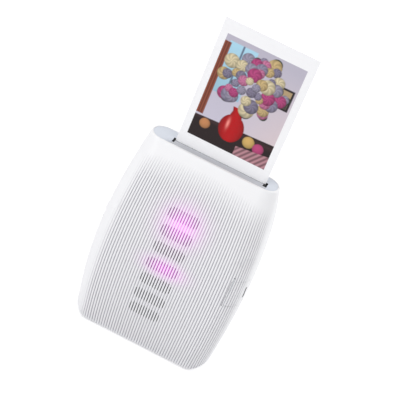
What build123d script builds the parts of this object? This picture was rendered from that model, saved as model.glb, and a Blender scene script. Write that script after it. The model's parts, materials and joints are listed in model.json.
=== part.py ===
from build123d import *
import math
import os

# A compact photo printer standing on its base, in millimetres.
# +Z is the way the print comes out, -Y is the ribbed front, +X is the side with the charging port.
# The origin is the middle of the base.

os.makedirs("parts", exist_ok=True)

# ---------------------------------------------------------------- driving sizes
# casing
body_height = 125.5
body_half_width = 45.0        # at the widest level
body_half_depth = 18.65       # front and back, at the deepest level
side_taper = 67.5             # height over which the sides draw in to the cap
top_half_width = 38.04        # at the end cap
base_half_width = 41.2
front_taper = 67.5            # height over which the front draws in to the cap
top_front_depth = 7.94
base_front_depth = 10.74
rear_taper = 33.5             # height over which the back draws in to the cap
rear_flat_low = 25.0          # the back draws in to the base below this level
top_rear_depth = 8.66
base_rear_depth = 13.34
edge_flat = 0.3               # least flat left between two rounded edges
front_edge_radius = 13.0      # upright edges of the casing
rear_edge_radius = 9.0
base_radius = 11.0            # lower corners, seen from the front
wall = 2.0
parting_y = 3.0               # the front and rear shells meet here
seam = 0.2                    # gap between casing pieces that move

# end cap
cap_thickness = 2.2
cap_rim = 1.0                 # casing left around the cap
cap_gap = 0.12
cap_skirt = 1.7
cap_skirt_wall = 1.2
slot_end_gap = 1.25           # slot to film, at each end
slot_width = 2.2

# film
film_x = 3.2                  # the film runs this far right of the middle
film_y = -0.6
film_width = 54.0
film_height = 86.0
film_thickness = 0.36
print_grip = 2.0              # how far the sheet hangs below the rollers' middle
pack_side = 5.0               # film to the pack's side
pack_height = 97.0
pack_depth = 14.5
pack_bottom = 5.5
pack_wall = 1.2
pack_front_wall = 1.0
stack_depth = 3.3
film_level = 10.0             # lower edge of the sheets in the pack

# rollers and gears
roller_drop = 7.5             # cap's face down to the rollers' middle
roller_radius = 2.8
nip_gap = 0.02                # roller to film, each side
roller_overhang = 1.2         # roller past the film, at each end
journal_radius = 1.2
bush_radius = 2.0
running = 0.05                # radial clearance of a shaft in its bore
roller_teeth = 15
idler_teeth = 30
small_teeth = 12
large_teeth = 36
pinion_teeth = 12
gear_face = 2.0
post_radius = 1.0
tooth_fraction = 0.42         # tooth width over tooth pitch, which leaves backlash
addendum = 0.75
dedendum = 1.15
pressure_angle = math.radians(20)

# inner frame
frame_wall = 1.0
bay_gap = 0.6                 # film pack to frame, each side
frame_bottom = 4.0
frame_drop = 14.0             # rollers' middle down to the frame's top edge
frame_rear = 12.2
frame_clearance = 0.3         # frame to the casing's inside, where its corners are cut back

# film door
door_low = 7.0
door_above_pack = 4.5
door_right = 37.0
door_right_seam = 0.3        # the free edge swings out past the casing here
hinge_x = -33.5
hinge_radius = 1.5
hinge_pin_radius = 0.6
hinge_relief_gap = 0.2
knuckle_height = 6.0
knuckle_levels = (36.0, 82.0)  # lower end of each casing knuckle pair
latch_level = 62.0
latch_travel = 1.8

# port cover
cover_low = 54.4
cover_high = 71.5
cover_inset = 8.5             # widest part of the side to its front seam
cover_rear = 1.0
cover_thickness = 1.0
cover_seam = 0.15
cover_hinge_radius = 0.75
cover_pin_radius = 0.4
cover_slot_height = 7.0
cover_slot_width = 1.6
cover_slot_y = -7.8
port_level = 63.0

# boards, battery and buttons
board_thickness = 1.0
board_y = -4.2                # rear face of the main board
board_inset = 6.6             # widest part of the side to the main board
power_level = 72.0
power_y = -4.0
power_radius = 3.4
power_travel = 0.6
reset_level = 56.6
reset_radius = 1.0
reset_travel = 0.3
light_x = 3.0
light_levels = (86.8, 59.6)

# screws
screw_radius = 1.0
screw_head_radius = 1.9
screw_head_height = 0.9
small_screw_radius = 0.8
small_screw_head_radius = 1.5
screw_fit = 0.05

# sizes that follow from those above
widest_level = body_height - side_taper
deepest_level = body_height - front_taper   # where the front stands out most
rear_flat_high = body_height - rear_taper
cover_front = body_half_width - cover_inset
pack_width = film_width + 2 * pack_side
slot_length = film_width + 2 * slot_end_gap
roller_length = film_width + 2 * roller_overhang
roller_gap = film_thickness + 2 * nip_gap
roller_level = body_height - roller_drop
frame_top = roller_level - frame_drop
print_bottom = roller_level - print_grip
door_high = pack_bottom + pack_height + door_above_pack
module = (2 * roller_radius + roller_gap) / roller_teeth   # the roller gears mesh at the rollers' spacing

# levels at which the casing's outline is drawn, closer together where it curls in
outline_levels = [body_height * share for share in
                  (0.064, 0.16, 0.27, 0.38, 0.49, 0.61, 0.72, 0.8, 0.86, 0.92, 0.965)]


# ---------------------------------------------------------------- helpers
def block(x0, x1, y0, y1, z0, z1):
    """A box from its lower to its upper corner."""
    box = Box(x1 - x0, y1 - y0, z1 - z0)
    return Pos((x0 + x1) / 2, (y0 + y1) / 2, (z0 + z1) / 2) * box


def rod_x(x0, x1, y, z, radius):
    """A cylinder along X."""
    return Pos((x0 + x1) / 2, y, z) * Rot(0, 90, 0) * Cylinder(radius, x1 - x0)


def rod_y(y0, y1, x, z, radius):
    """A cylinder along Y."""
    return Pos(x, (y0 + y1) / 2, z) * Rot(90, 0, 0) * Cylinder(radius, y1 - y0)


def rod_z(z0, z1, x, y, radius):
    """A cylinder along Z."""
    return Pos(x, y, (z0 + z1) / 2) * Cylinder(radius, z1 - z0)


def coil(radius, wire, height, turns):
    """A compression spring along Z, standing on the origin."""
    path = Helix(pitch=(height - wire) / turns, height=height - wire, radius=radius)
    start = path @ 0
    profile = Plane(origin=start, z_dir=path % 0) * Circle(wire / 2)
    return Pos(0, 0, wire / 2) * sweep(profile, path=path)


def leaf_spring(x0, x1, y0, y1, z0, z1, thickness):
    """A V-shaped strip: its bend touches the plane y0 and its two feet the plane y1."""
    middle = (z0 + z1) / 2
    foot = thickness * (z1 - middle) / (y1 - y0)
    corners = [(y1, z0), (y0, middle), (y1, z1), (y1, z1 - foot), (y0 + thickness, middle), (y1, z0 + foot)]
    face = make_face(Polyline(*[(0, y, z) for y, z in corners], close=True))
    return Pos(x0, 0, 0) * extrude(face, amount=x1 - x0, dir=(1, 0, 0))


def eased(z, start, stop, drop):
    """A drop that grows with the square of the way from start to stop."""
    way = max(0.0, (z - start) / (stop - start))
    return drop * way**2


def half_width(z):
    above = eased(z, widest_level, body_height, body_half_width - top_half_width)
    below = eased(z, widest_level, 0, body_half_width - base_half_width)
    return body_half_width - above - below


def front_depth(z):
    above = eased(z, deepest_level, body_height, body_half_depth - top_front_depth)
    below = eased(z, deepest_level, 0, body_half_depth - base_front_depth)
    return body_half_depth - above - below


def rear_depth(z):
    above = eased(z, rear_flat_high, body_height, body_half_depth - top_rear_depth)
    below = eased(z, rear_flat_low, 0, body_half_depth - base_rear_depth)
    return body_half_depth - above - below


def outline(z, inset):
    """The casing's section at one level, drawn in by inset."""
    w = half_width(z) - inset
    f = front_depth(z) - inset
    r = rear_depth(z) - inset
    cf = min(front_edge_radius - inset, f - edge_flat)
    cr = min(rear_edge_radius - inset, r - edge_flat)
    bend = math.sqrt(0.5)
    edges = [
        Line((-w + cf, -f, z), (w - cf, -f, z)),
        ThreePointArc((w - cf, -f, z), (w - cf + cf * bend, -f + cf - cf * bend, z), (w, -f + cf, z)),
        Line((w, -f + cf, z), (w, r - cr, z)),
        ThreePointArc((w, r - cr, z), (w - cr + cr * bend, r - cr + cr * bend, z), (w - cr, r, z)),
        Line((w - cr, r, z), (-w + cr, r, z)),
        ThreePointArc((-w + cr, r, z), (-w + cr - cr * bend, r - cr + cr * bend, z), (-w, r - cr, z)),
        Line((-w, r - cr, z), (-w, -f + cf, z)),
        ThreePointArc((-w, -f + cf, z), (-w + cf - cf * bend, -f + cf - cf * bend, z), (-w + cf, -f, z)),
    ]
    return Wire(edges)


def body_solid(inset, low, high):
    """The casing's outer form, drawn in by inset, between two levels."""
    levels = [low] + [z for z in outline_levels if low + 2 < z < high - 2] + [high]
    solid = Solid.make_loft([outline(z, inset) for z in levels])
    centre_x = half_width(base_radius) - base_radius
    if low < base_radius:
        for side in (-1, 1):
            reach = side * (centre_x + 2 * base_radius)
            x0, x1 = sorted((side * centre_x, reach))
            corner = block(x0, x1, -2 * body_half_depth, 2 * body_half_depth, -base_radius, base_radius)
            corner -= rod_y(
                -3 * body_half_depth, 3 * body_half_depth, side * centre_x, base_radius, base_radius - inset
            )
            solid -= corner
    return solid


def gear(teeth, x0, x1, y, z, phase, bore):
    """A spur gear along X. One tooth points along phase, an angle from +Y towards +Z."""
    pitch_radius = module * teeth / 2
    base = pitch_radius * math.cos(pressure_angle)
    root = pitch_radius - dedendum * module
    tip = pitch_radius + addendum * module

    def involute(radius):
        angle = math.acos(min(1.0, base / radius))
        return math.tan(angle) - angle

    flank_steps = 5
    start = max(base, root)
    radii = [start + (tip - start) * i / flank_steps for i in range(flank_steps + 1)]
    if root < base:
        radii.insert(0, root)
    half_tooth = tooth_fraction * math.pi / teeth
    flank = [(r, half_tooth + involute(pitch_radius) - involute(max(r, base))) for r in radii]
    points = []
    for tooth in range(teeth):
        centre = phase + 2 * math.pi * tooth / teeth
        for r, spread in flank:
            points.append((r, centre - spread))
        for r, spread in reversed(flank):
            points.append((r, centre + spread))
    corners = [(x0, y + r * math.cos(a), z + r * math.sin(a)) for r, a in points]
    blank = extrude(make_face(Polyline(*corners, close=True)), amount=x1 - x0, dir=(1, 0, 0))
    return blank - rod_x(x0 - 1, x1 + 1, y, z, bore)


def meshed_phase(phase, teeth, next_teeth, direction):
    """Phase of the next gear, which lies in the given direction, so that the two mesh."""
    past = (direction - phase) % (2 * math.pi / teeth)
    return direction + math.pi + past * teeth / next_teeth + math.pi / next_teeth


def save(shape, name):
    export_step(shape if isinstance(shape, Compound) else Compound(children=[shape]), f"parts/{name}.step")


def save_group(solids, name):
    export_step(Compound(children=list(solids)), f"parts/{name}.step")


# ---------------------------------------------------------------- places worked out from the sizes
cap_seat = body_height - cap_thickness
pack_left = film_x - pack_width / 2
pack_right = film_x + pack_width / 2
pack_front = film_y - film_thickness / 2 - 0.12 - pack_front_wall
pack_rear = pack_front + pack_depth
pack_top = pack_bottom + pack_height
bay_left = pack_left - bay_gap
bay_right = pack_right + bay_gap
frame_left = bay_left - frame_wall
frame_right = bay_right + frame_wall
plate_rear = pack_front - 0.3
plate_front = plate_rear - frame_wall
board_front = board_y - board_thickness

roller_centre = roller_radius + roller_gap / 2
front_roller_y = film_y - roller_centre
rear_roller_y = film_y + roller_centre
roller_left = film_x - roller_length / 2
roller_right = film_x + roller_length / 2
plate_gap = 1.2               # roller end to bracket plate
bracket_inner = roller_length / 2 + plate_gap
bracket_outer = bracket_inner + frame_wall

gear_x0 = frame_left - 0.6 - gear_face
gear_x1 = gear_x0 + gear_face
large_x1 = gear_x0 - 1.2
large_x0 = large_x1 - 1.8


def mesh_distance(teeth_a, teeth_b):
    return module * (teeth_a + teeth_b) / 2


idler_y = front_roller_y + 1.0
idler_z = roller_level - math.sqrt(mesh_distance(roller_teeth, idler_teeth) ** 2 - 1.0)
reduction_y = idler_y + 1.6
reduction_z = idler_z - math.sqrt(mesh_distance(idler_teeth, small_teeth) ** 2 - 1.6**2)
pinion_y = reduction_y - 7.1
pinion_z = reduction_z - math.sqrt(mesh_distance(large_teeth, pinion_teeth) ** 2 - 7.1**2)

hinge_y = body_half_depth - hinge_radius

frame_boss_places = ((-26.0, 14.0), (-26.0, 80.0), (33.5, 14.0), (33.5, 94.0))
board_screw_places = ((-17.0, 41.0), (-17.0, 81.0), (31.0, 41.0), (26.0, 81.0))
case_screw_x = -38.6
case_screw_levels = (22.0, 84.0)

far_x = 2 * body_half_width
far_y = 2 * body_half_depth
outer_body = body_solid(0, 0, body_height)
inner_body = body_solid(wall, wall, cap_seat + 0.01)
cap_pocket = body_solid(cap_rim, cap_seat, body_height + 1)


def hollow_block(y0, y1):
    """A slab of stock with the casing's hollow cut out. A casing piece is trimmed to the outer form last."""
    return block(-far_x, far_x, y0, y1, -1, body_height + 2) - inner_body - cap_pocket


# ---------------------------------------------------------------- port cover, at the right front edge
cover_axis_x = cover_front + cover_hinge_radius + cover_seam
edge_centre_x = half_width(port_level) - front_edge_radius
edge_rise = math.sqrt(front_edge_radius**2 - (cover_axis_x - edge_centre_x) ** 2)
cover_axis_y = -(front_depth(port_level) - front_edge_radius + edge_rise) + cover_hinge_radius
cover_recess = body_solid(cover_thickness + cover_seam, 2 * wall, cap_seat - 2)


def make_port_cover():
    low = cover_low + cover_seam
    high = cover_high - cover_seam
    leaf = block(cover_axis_x, far_x, -far_y, cover_rear - cover_seam, low, high)
    leaf -= body_solid(cover_thickness, 2 * wall, cap_seat - 2)
    cover = leaf + rod_z(low, high, cover_axis_x, cover_axis_y, cover_hinge_radius)
    cover &= outer_body
    cover -= rod_z(low - 1, high + 1, cover_axis_x, cover_axis_y, cover_pin_radius + running)
    cover -= block(
        half_width(port_level) - 3,
        far_x,
        cover_slot_y - cover_slot_width / 2,
        cover_slot_y + cover_slot_width / 2,
        port_level - cover_slot_height / 2,
        port_level + cover_slot_height / 2,
    )
    return cover


def cover_opening():
    """What the front shell leaves out for the cover: its recess, hinge trough, port and reset hole."""
    relief = cover_hinge_radius + cover_seam
    recess = block(cover_axis_x, far_x, -far_y, cover_rear, cover_low, cover_high) - cover_recess
    trough = rod_z(cover_low, cover_high, cover_axis_x, cover_axis_y, relief)
    mouth = block(cover_axis_x - relief, cover_axis_x, -far_y, cover_axis_y, cover_low, cover_high)
    port_hole = block(36, far_x, port_y - 2.0, port_y + 2.0, port_level - 4.9, port_level + 4.9)
    reset_hole = rod_x(36, far_x, port_y, reset_level, reset_radius + 0.15)
    pin_hole = rod_z(
        cover_low - 2, cover_high + 2, cover_axis_x, cover_axis_y, cover_pin_radius + 0.02
    )
    return [recess, trough, mouth, port_hole, reset_hole, pin_hole]


port_depth_y = 3.26
port_width_z = 8.94
port_y = board_front - port_depth_y / 2
port_mouth_x = half_width(port_level) - wall - 0.3
port_length = 7.4

cover_pin = rod_z(cover_low - 1.8, cover_high + 1.8, cover_axis_x, cover_axis_y, cover_pin_radius)
save(make_port_cover(), "port_cover")
save(cover_pin, "port_cover_pin")


# ---------------------------------------------------------------- casing
def make_front_shell():
    shell = hollow_block(-far_y, parting_y)
    boss_top = plate_front - 1.0
    for x, z in frame_boss_places:
        shell += rod_y(-far_y, boss_top, x, z, 2.6)
        shell -= rod_y(boss_top - 6.5, boss_top + 1, x, z, screw_radius + screw_fit)
    for z in case_screw_levels:
        shell += rod_y(-far_y, parting_y, case_screw_x, z, 2.5)
        shell -= rod_y(parting_y - 9, parting_y + 1, case_screw_x, z, screw_radius + screw_fit)
    shell -= rod_x(-far_x, -half_width(power_level) + 2 * wall, power_y, power_level, power_radius + 0.15)
    for cut in cover_opening():
        shell -= cut
    return shell & outer_body


def door_zone(gap):
    right = door_right + (door_right_seam if gap else 0)
    return block(hinge_x, right, parting_y + 2, far_y, door_low - gap, door_high + gap)


def casing_knuckles():
    """Two pairs of casing knuckles with room for a door knuckle between each pair."""
    for low in knuckle_levels:
        yield low, low + knuckle_height / 2
        yield low + 3 * knuckle_height / 2, low + 2 * knuckle_height


def make_rear_shell():
    shell = hollow_block(parting_y, far_y) - door_zone(seam)
    relief = hinge_radius + hinge_relief_gap
    shell -= rod_z(door_low - seam, door_high + seam, hinge_x, hinge_y, relief)
    shell -= block(hinge_x - relief, hinge_x, hinge_y, far_y, door_low - seam, door_high + seam)
    for low, high in casing_knuckles():
        knuckle = rod_z(low, high, hinge_x, hinge_y, hinge_radius)
        web = block(hinge_x - 4, hinge_x, hinge_y - hinge_radius, body_half_depth - wall / 2, low, high)
        shell += knuckle + web
    for low in knuckle_levels:
        top = low + 2 * knuckle_height
        shell -= rod_z(low - 0.5, top + 0.5, hinge_x, hinge_y, hinge_pin_radius + 0.02)
    for z in case_screw_levels:
        shell += rod_y(parting_y, far_y, case_screw_x, z, 3.0)
        shell -= rod_y(parting_y - 1, far_y, case_screw_x, z, screw_radius + 0.15)
        shell -= rod_y(parting_y + 3, far_y, case_screw_x, z, screw_head_radius + 0.2)
    return shell & outer_body


def make_film_door():
    door = door_zone(0) - inner_body
    door += rod_z(door_low, door_high, hinge_x, hinge_y, hinge_radius)
    door &= outer_body
    for low, high in casing_knuckles():
        door -= block(
            hinge_x - 3, hinge_x + 2, hinge_y - 3, far_y, low - seam / 2, high + seam / 2
        )
    door -= rod_z(door_low - 1, door_high + 1, hinge_x, hinge_y, hinge_pin_radius + running)
    x0, x1, z0, z1 = latch_pocket
    door -= block(x0, x1, body_half_depth - 1.2, far_y, z0, z1)
    door -= block(x0 + 1.2, x1 - 0.6, 10, far_y, z0 + 5, z1 - 5)
    return door


def make_latch():
    """The finger pad outside, its neck through the door, and the tongue plate inside."""
    x0, x1, z0, z1 = latch_pocket
    pad = block(x0 + 0.3, x1 - 0.3 - latch_travel, body_half_depth - 1.0, body_half_depth - 0.1, z0 + 0.3, z1 - 0.3)
    for i in range(3):
        level = latch_level - 3 + 3 * i
        pad -= block(x0, x1, body_half_depth - 0.4, far_y, level - 0.4, level + 0.4)
    neck = block(x0 + 1.4, x1 - 0.8 - latch_travel, latch_plate_rear, body_half_depth - 1.0, z0 + 5.3, z1 - 5.3)
    plate = block(x0 - 1.5, door_right - 0.2, latch_plate_rear - 1.2, latch_plate_rear, z0 + 4, z1 - 4)
    return pad + neck + plate


latch_pocket = (door_right - 7.6, door_right - 1.6, latch_level - 9, latch_level + 9)
latch_plate_rear = 14.9


def make_cap():
    """The flat end cap with its exit slot and a skirt that drops inside the casing."""
    plate = body_solid(cap_rim + cap_gap, cap_seat, body_height)
    skirt = body_solid(wall + cap_gap, cap_seat - cap_skirt, cap_seat)
    skirt -= body_solid(wall + cap_gap + cap_skirt_wall, cap_seat - cap_skirt - 1, cap_seat + 1)
    cap = plate + skirt
    half_slot = slot_length / 2
    cap -= block(
        film_x - half_slot,
        film_x + half_slot,
        film_y - slot_width / 2,
        film_y + slot_width / 2,
        cap_seat - 5,
        body_height + 1,
    )
    return cap


def make_seals():
    """Felt strips under the cap, one each side of the slot."""
    half = film_width / 2 + 0.6
    for y0, y1 in ((film_y - 1.8, film_y - 0.4), (film_y + 0.4, film_y + 1.8)):
        yield block(film_x - half, film_x + half, y0, y1, cap_seat - 1.5, cap_seat)


def make_door_pins():
    for low in knuckle_levels:
        top = low + 2 * knuckle_height
        yield rod_z(low - 0.4, top + 0.4, hinge_x, hinge_y, hinge_pin_radius)


pad_levels = (42.0, 66.0)
pad_rear = pack_rear + 1.5


def make_pads():
    for z in pad_levels:
        yield block(film_x - 10, film_x + 10, pack_rear + 0.2, pad_rear, z - 7, z + 7)


def make_pad_springs():
    for z in pad_levels:
        yield leaf_spring(film_x - 6, film_x + 6, pad_rear, body_half_depth - wall - 0.03, z - 11, z + 11, 0.4)


save(make_front_shell(), "front_shell")
save(make_rear_shell(), "rear_shell")
save(make_film_door(), "film_door")
save(make_latch(), "door_latch")
save(make_cap(), "top_cap")
save_group(make_seals(), "slot_seals")
save_group(make_door_pins(), "door_hinge_pins")
save_group(make_pads(), "pressure_pads")
save_group(make_pad_springs(), "pad_springs")


# ---------------------------------------------------------------- inner frame
picker_x0 = frame_left - 2.0
picker_x1 = frame_left - 0.8
picker_y = 3.0
picker_low = 14.0
picker_high = 58.0
picker_travel = 6.0
picker_pin_levels = (24.0, 48.0)
picker_finger_level = 8.2
picker_finger_height = 1.4
picker_spring_top = 70.0


def make_frame():
    frame = block(frame_left, frame_right, plate_front, plate_rear, frame_bottom, frame_top)
    frame += block(frame_left, bay_left, plate_rear, frame_rear, frame_bottom, frame_top)
    frame += block(bay_right, frame_right, plate_rear, frame_rear, frame_bottom, frame_top)
    frame += block(frame_left, frame_right, plate_rear, frame_rear - 1, frame_bottom, frame_bottom + frame_wall)
    frame += block(frame_left, bay_left, -6, 5, frame_top, idler_z + 3.5)
    frame += block(frame_left - 3.6, frame_left, 1, 5, picker_spring_top, picker_spring_top + 1)
    frame += block(frame_left - 3.5, frame_left, plate_front, -1, power_level + 2, power_level + 6)
    for x, z in frame_boss_places:
        frame += rod_y(plate_front - 1, plate_front, x, z, 3.2)
        frame -= rod_y(plate_front - 2, plate_rear + 1, x, z, screw_radius + 0.15)
        frame -= rod_y(plate_rear - 1, plate_rear + 1, x, z, screw_head_radius + 0.1)
    for x, z in board_screw_places:
        frame += rod_y(board_y, plate_front, x, z, 2.2)
        frame -= rod_y(board_y - 1, plate_rear + 1, x, z, small_screw_radius + screw_fit)
    frame -= block(
        frame_left - 1, bay_left + 1, film_y - 0.6, film_y + 0.8,
        picker_finger_level - 0.6, picker_finger_level + picker_finger_height + picker_travel + 0.6,
    )
    return frame & body_solid(wall + frame_clearance, wall, cap_seat)


strip_front = rear_roller_y + roller_radius + 0.2
spring_seat = strip_front + 1.2


def make_bracket():
    """The stamped bracket that carries both rollers, standing on the frame."""
    low = frame_top
    high = roller_level + 2.8
    bracket = block(
        film_x - bracket_outer, film_x + bracket_outer, strip_front, strip_front + 0.8, roller_level - 6, high
    )
    for side in (-1, 1):
        x0, x1 = sorted((film_x + side * bracket_inner, film_x + side * bracket_outer))
        bracket += block(x0, x1, -6.0, strip_front + 0.8, low, high)
        bracket += block(x0, x1, strip_front, spring_seat + 0.6, roller_level - 1, roller_level + 1)
        x0, x1 = sorted((film_x + side * bracket_inner, film_x + side * (bracket_outer + 2.0)))
        bracket += block(x0, x1, spring_seat, spring_seat + 0.6, roller_level - 1, roller_level + 1)
        x0, x1 = film_x + side * (bracket_inner - 1), film_x + side * (bracket_outer + 1)
        x0, x1 = sorted((x0, x1))
        bracket -= rod_x(x0, x1, front_roller_y, roller_level, bush_radius + 0.02)
        bracket -= rod_x(x0, x1, rear_roller_y, roller_level, bush_radius + 0.02)
    return bracket


def make_bushes():
    for y in (front_roller_y, rear_roller_y):
        for side in (-1, 1):
            x0, x1 = sorted((film_x + side * (bracket_inner - 0.8), film_x + side * (bracket_outer + 1.8)))
            bush = rod_x(x0, x1, y, roller_level, bush_radius)
            yield bush - rod_x(x0 - 1, x1 + 1, y, roller_level, journal_radius + running)


def make_roller_springs():
    """Two coils that press the rear roller's bushes forward."""
    y0 = rear_roller_y + bush_radius + 0.05
    for side in (-1, 1):
        x = film_x + side * (bracket_outer + 1.1)
        yield Pos(x, y0, roller_level) * Rot(-90, 0, 0) * coil(0.75, 0.3, spring_seat - y0 - 0.05, 4)


def make_roller(y):
    roller = rod_x(roller_left, roller_right, y, roller_level, roller_radius)
    left = gear_x0 - 0.4
    right = film_x + bracket_outer + 1.2
    roller += rod_x(left, right, y, roller_level, journal_radius)
    return roller


save(make_frame(), "main_frame")
save(make_bracket(), "roller_bracket")
save_group(make_bushes(), "roller_bushes")
save_group(make_roller_springs(), "roller_springs")
save(make_roller(front_roller_y), "front_roller")
save(make_roller(rear_roller_y), "rear_roller")


# ---------------------------------------------------------------- gear train and motor
front_phase = 0.0
rear_phase = meshed_phase(front_phase, roller_teeth, roller_teeth, 0.0)


def toward(y0, z0, y1, z1):
    return math.atan2(z1 - z0, y1 - y0)


idler_way = toward(front_roller_y, roller_level, idler_y, idler_z)
idler_phase = meshed_phase(front_phase, roller_teeth, idler_teeth, idler_way)
small_way = toward(idler_y, idler_z, reduction_y, reduction_z)
small_phase = meshed_phase(idler_phase, idler_teeth, small_teeth, small_way)
pinion_way = toward(reduction_y, reduction_z, pinion_y, pinion_z)
pinion_phase = meshed_phase(small_phase, large_teeth, pinion_teeth, pinion_way)

shaft_bore = journal_radius + 0.02
post_bore = post_radius + running
motor_radius = 4.5
motor_length = 18.0
motor_x0 = large_x1 + 0.4
motor_shaft_radius = 0.75

front_gear = gear(roller_teeth, gear_x0, gear_x1, front_roller_y, roller_level, front_phase, shaft_bore)
rear_gear = gear(roller_teeth, gear_x0, gear_x1, rear_roller_y, roller_level, rear_phase, shaft_bore)
idler = gear(idler_teeth, gear_x0, gear_x1, idler_y, idler_z, idler_phase, post_bore)
small = gear(small_teeth, gear_x0, gear_x1, reduction_y, reduction_z, small_phase, post_bore)
large = gear(large_teeth, large_x0, large_x1, reduction_y, reduction_z, small_phase, post_bore)
hub = rod_x(large_x1, gear_x0, reduction_y, reduction_z, 1.9)
hub -= rod_x(large_x1 - 1, gear_x0 + 1, reduction_y, reduction_z, post_bore)
pinion = gear(
    pinion_teeth, large_x0, large_x1, pinion_y, pinion_z, pinion_phase, motor_shaft_radius + 0.02
)
motor_shaft = rod_x(large_x0 - 0.3, motor_x0 + 6, pinion_y, pinion_z, motor_shaft_radius)
motor = rod_x(motor_x0, motor_x0 + motor_length, pinion_y, pinion_z, motor_radius)
motor -= rod_x(motor_x0 - 1, motor_x0 + 6.5, pinion_y, pinion_z, motor_shaft_radius + running)
motor_terminal = block(
    motor_x0 + motor_length, motor_x0 + motor_length + 1.2, pinion_y - 2.5, pinion_y + 2.5,
    pinion_z - 2, pinion_z + 2,
)
strap_x0 = motor_x0 + 7
strap = block(strap_x0, strap_x0 + 4, pinion_y, plate_front, pinion_z - 5.1, pinion_z + 5.1)
strap += rod_x(strap_x0, strap_x0 + 4, pinion_y, pinion_z, 5.1)
strap -= rod_x(strap_x0 - 1, strap_x0 + 5, pinion_y, pinion_z, motor_radius + 0.05)
strap -= block(strap_x0 - 1, strap_x0 + 5, plate_front, plate_rear, pinion_z - 6, pinion_z + 6)


def make_posts():
    for x0, y, z in ((gear_x0 - 0.6, idler_y, idler_z), (large_x0 - 0.7, reduction_y, reduction_z)):
        post = rod_x(x0, frame_left, y, z, post_radius)
        post += rod_x(x0, x0 + 0.4, y, z, post_radius + 0.6)
        post += rod_x(gear_x1 + 0.2, frame_left, y, z, post_radius + 0.8)
        yield post


save(front_gear, "front_roller_gear")
save(rear_gear, "rear_roller_gear")
save(idler, "idler_gear")
save(small + hub + large, "reduction_gear")
save(pinion, "motor_pinion")
save(motor_shaft, "motor_shaft")
save(motor + motor_terminal, "drive_motor")
save(strap, "motor_strap")
save_group(make_posts(), "gear_posts")


# ---------------------------------------------------------------- film pack and print
def make_pack():
    case = block(pack_left, pack_right, pack_front, pack_rear, pack_bottom, pack_top)
    case -= block(
        pack_left + pack_wall, pack_right - pack_wall, pack_front + pack_front_wall,
        pack_rear - pack_wall, pack_bottom + pack_wall, pack_top - pack_wall,
    )
    window_half_width = 23.5
    case -= block(film_x - window_half_width, film_x + window_half_width, pack_front - 1, film_y, 22, 85)
    exit_half = film_width / 2 + 0.4
    case -= block(
        film_x - exit_half, film_x + exit_half, film_y - 0.3, film_y + 0.35, pack_top - 5, pack_top + 1
    )
    notch_top = picker_finger_level + picker_finger_height + picker_travel + 0.8
    case -= block(pack_left - 1, pack_left + 3, film_y - 0.3, film_y + 0.8, pack_bottom - 1, notch_top)
    return case


def film_sheet(y0, y1, level):
    half = film_width / 2
    return block(film_x - half, film_x + half, y0, y1, level, level + film_height)


stack_front = film_y + film_thickness / 2 + 0.12
stack_rear = stack_front + stack_depth
film_print = film_sheet(film_y - film_thickness / 2, film_y + film_thickness / 2, print_bottom)
pack_plate = block(film_x - 26, film_x + 26, stack_rear, stack_rear + 0.5, film_level + 2, film_level + 84)
pack_legs = leaf_spring(
    film_x - 8, film_x + 8, stack_rear + 0.4, pack_rear - pack_wall, film_level + 14, film_level + 72, 0.5
)

save(make_pack(), "film_pack_case")
save(film_sheet(stack_front, stack_rear, film_level), "film_stack")
save(pack_plate + pack_legs, "pack_spring")
save(film_print, "print_sheet")


# ---------------------------------------------------------------- picker that starts each sheet
def make_picker():
    bar = block(picker_x0, picker_x1, picker_y - 3, picker_y + 3, picker_low, picker_high)
    arm = block(picker_x0, picker_x1, film_y - 0.25, picker_y + 1, picker_finger_level, picker_low)
    finger = block(
        picker_x0, film_x - film_width / 2 - 0.4, film_y - 0.25, film_y + 0.25,
        picker_finger_level, picker_finger_level + picker_finger_height,
    )
    picker = bar + arm + finger
    for level in picker_pin_levels:
        slot = block(
            picker_x0 - 1, picker_x1 + 1, picker_y - 1.1, picker_y + 1.1, level - picker_travel - 1.1, level + 1.1
        )
        picker -= slot
    return picker


def make_picker_pins():
    for level in picker_pin_levels:
        pin = rod_x(picker_x0 - 0.8, frame_left, picker_y, level, 1.0)
        pin += rod_x(picker_x0 - 0.8, picker_x0 - 0.2, picker_y, level, 1.8)
        yield pin


picker_spring = Pos((picker_x0 + picker_x1) / 2, picker_y, picker_high + 0.05) * coil(
    1.1, 0.35, picker_spring_top - picker_high - 0.1, 7
)

save(make_picker(), "picker_claw")
save_group(make_picker_pins(), "picker_pins")
save(picker_spring, "picker_spring")


# ---------------------------------------------------------------- exposure head and film guide
head_half = film_width / 2 + 0.4
head_front = -8.6
head_rear = film_y - 0.9
head_top = frame_top + 8.6
lens_level = frame_top + 4.3

head = block(film_x - head_half, film_x + head_half, head_front, head_rear, frame_top, head_top)
head -= block(film_x - head_half + 2, film_x + head_half - 2, head_rear - 0.8, head_rear + 1,
              lens_level - 1, lens_level + 1)
lens = block(film_x - head_half + 2.1, film_x + head_half - 2.1, head_rear - 0.8, head_rear + 0.4,
             lens_level - 0.9, lens_level + 0.9)
guide = block(film_x - bracket_inner, film_x + bracket_inner, film_y + 0.6, film_y + 1.6,
              frame_top, roller_level - roller_radius - 0.6)
flex = block(-6, 6, head_front - 0.3, head_front, 79, frame_top + 5)

save(head, "exposure_head")
save(lens, "head_lens")
save(guide, "film_guide")
save(flex, "head_flex")


# ---------------------------------------------------------------- boards, battery, lights and ports
board_left = -20.0
board_right = body_half_width - board_inset
board_low = 38.0
board_high = 84.0


def make_board():
    board = block(board_left, board_right, board_front, board_y, board_low, board_high)
    for x, z in board_screw_places:
        board -= rod_y(board_front - 1, board_y + 1, x, z, small_screw_radius + 0.15)
    return board


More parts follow.
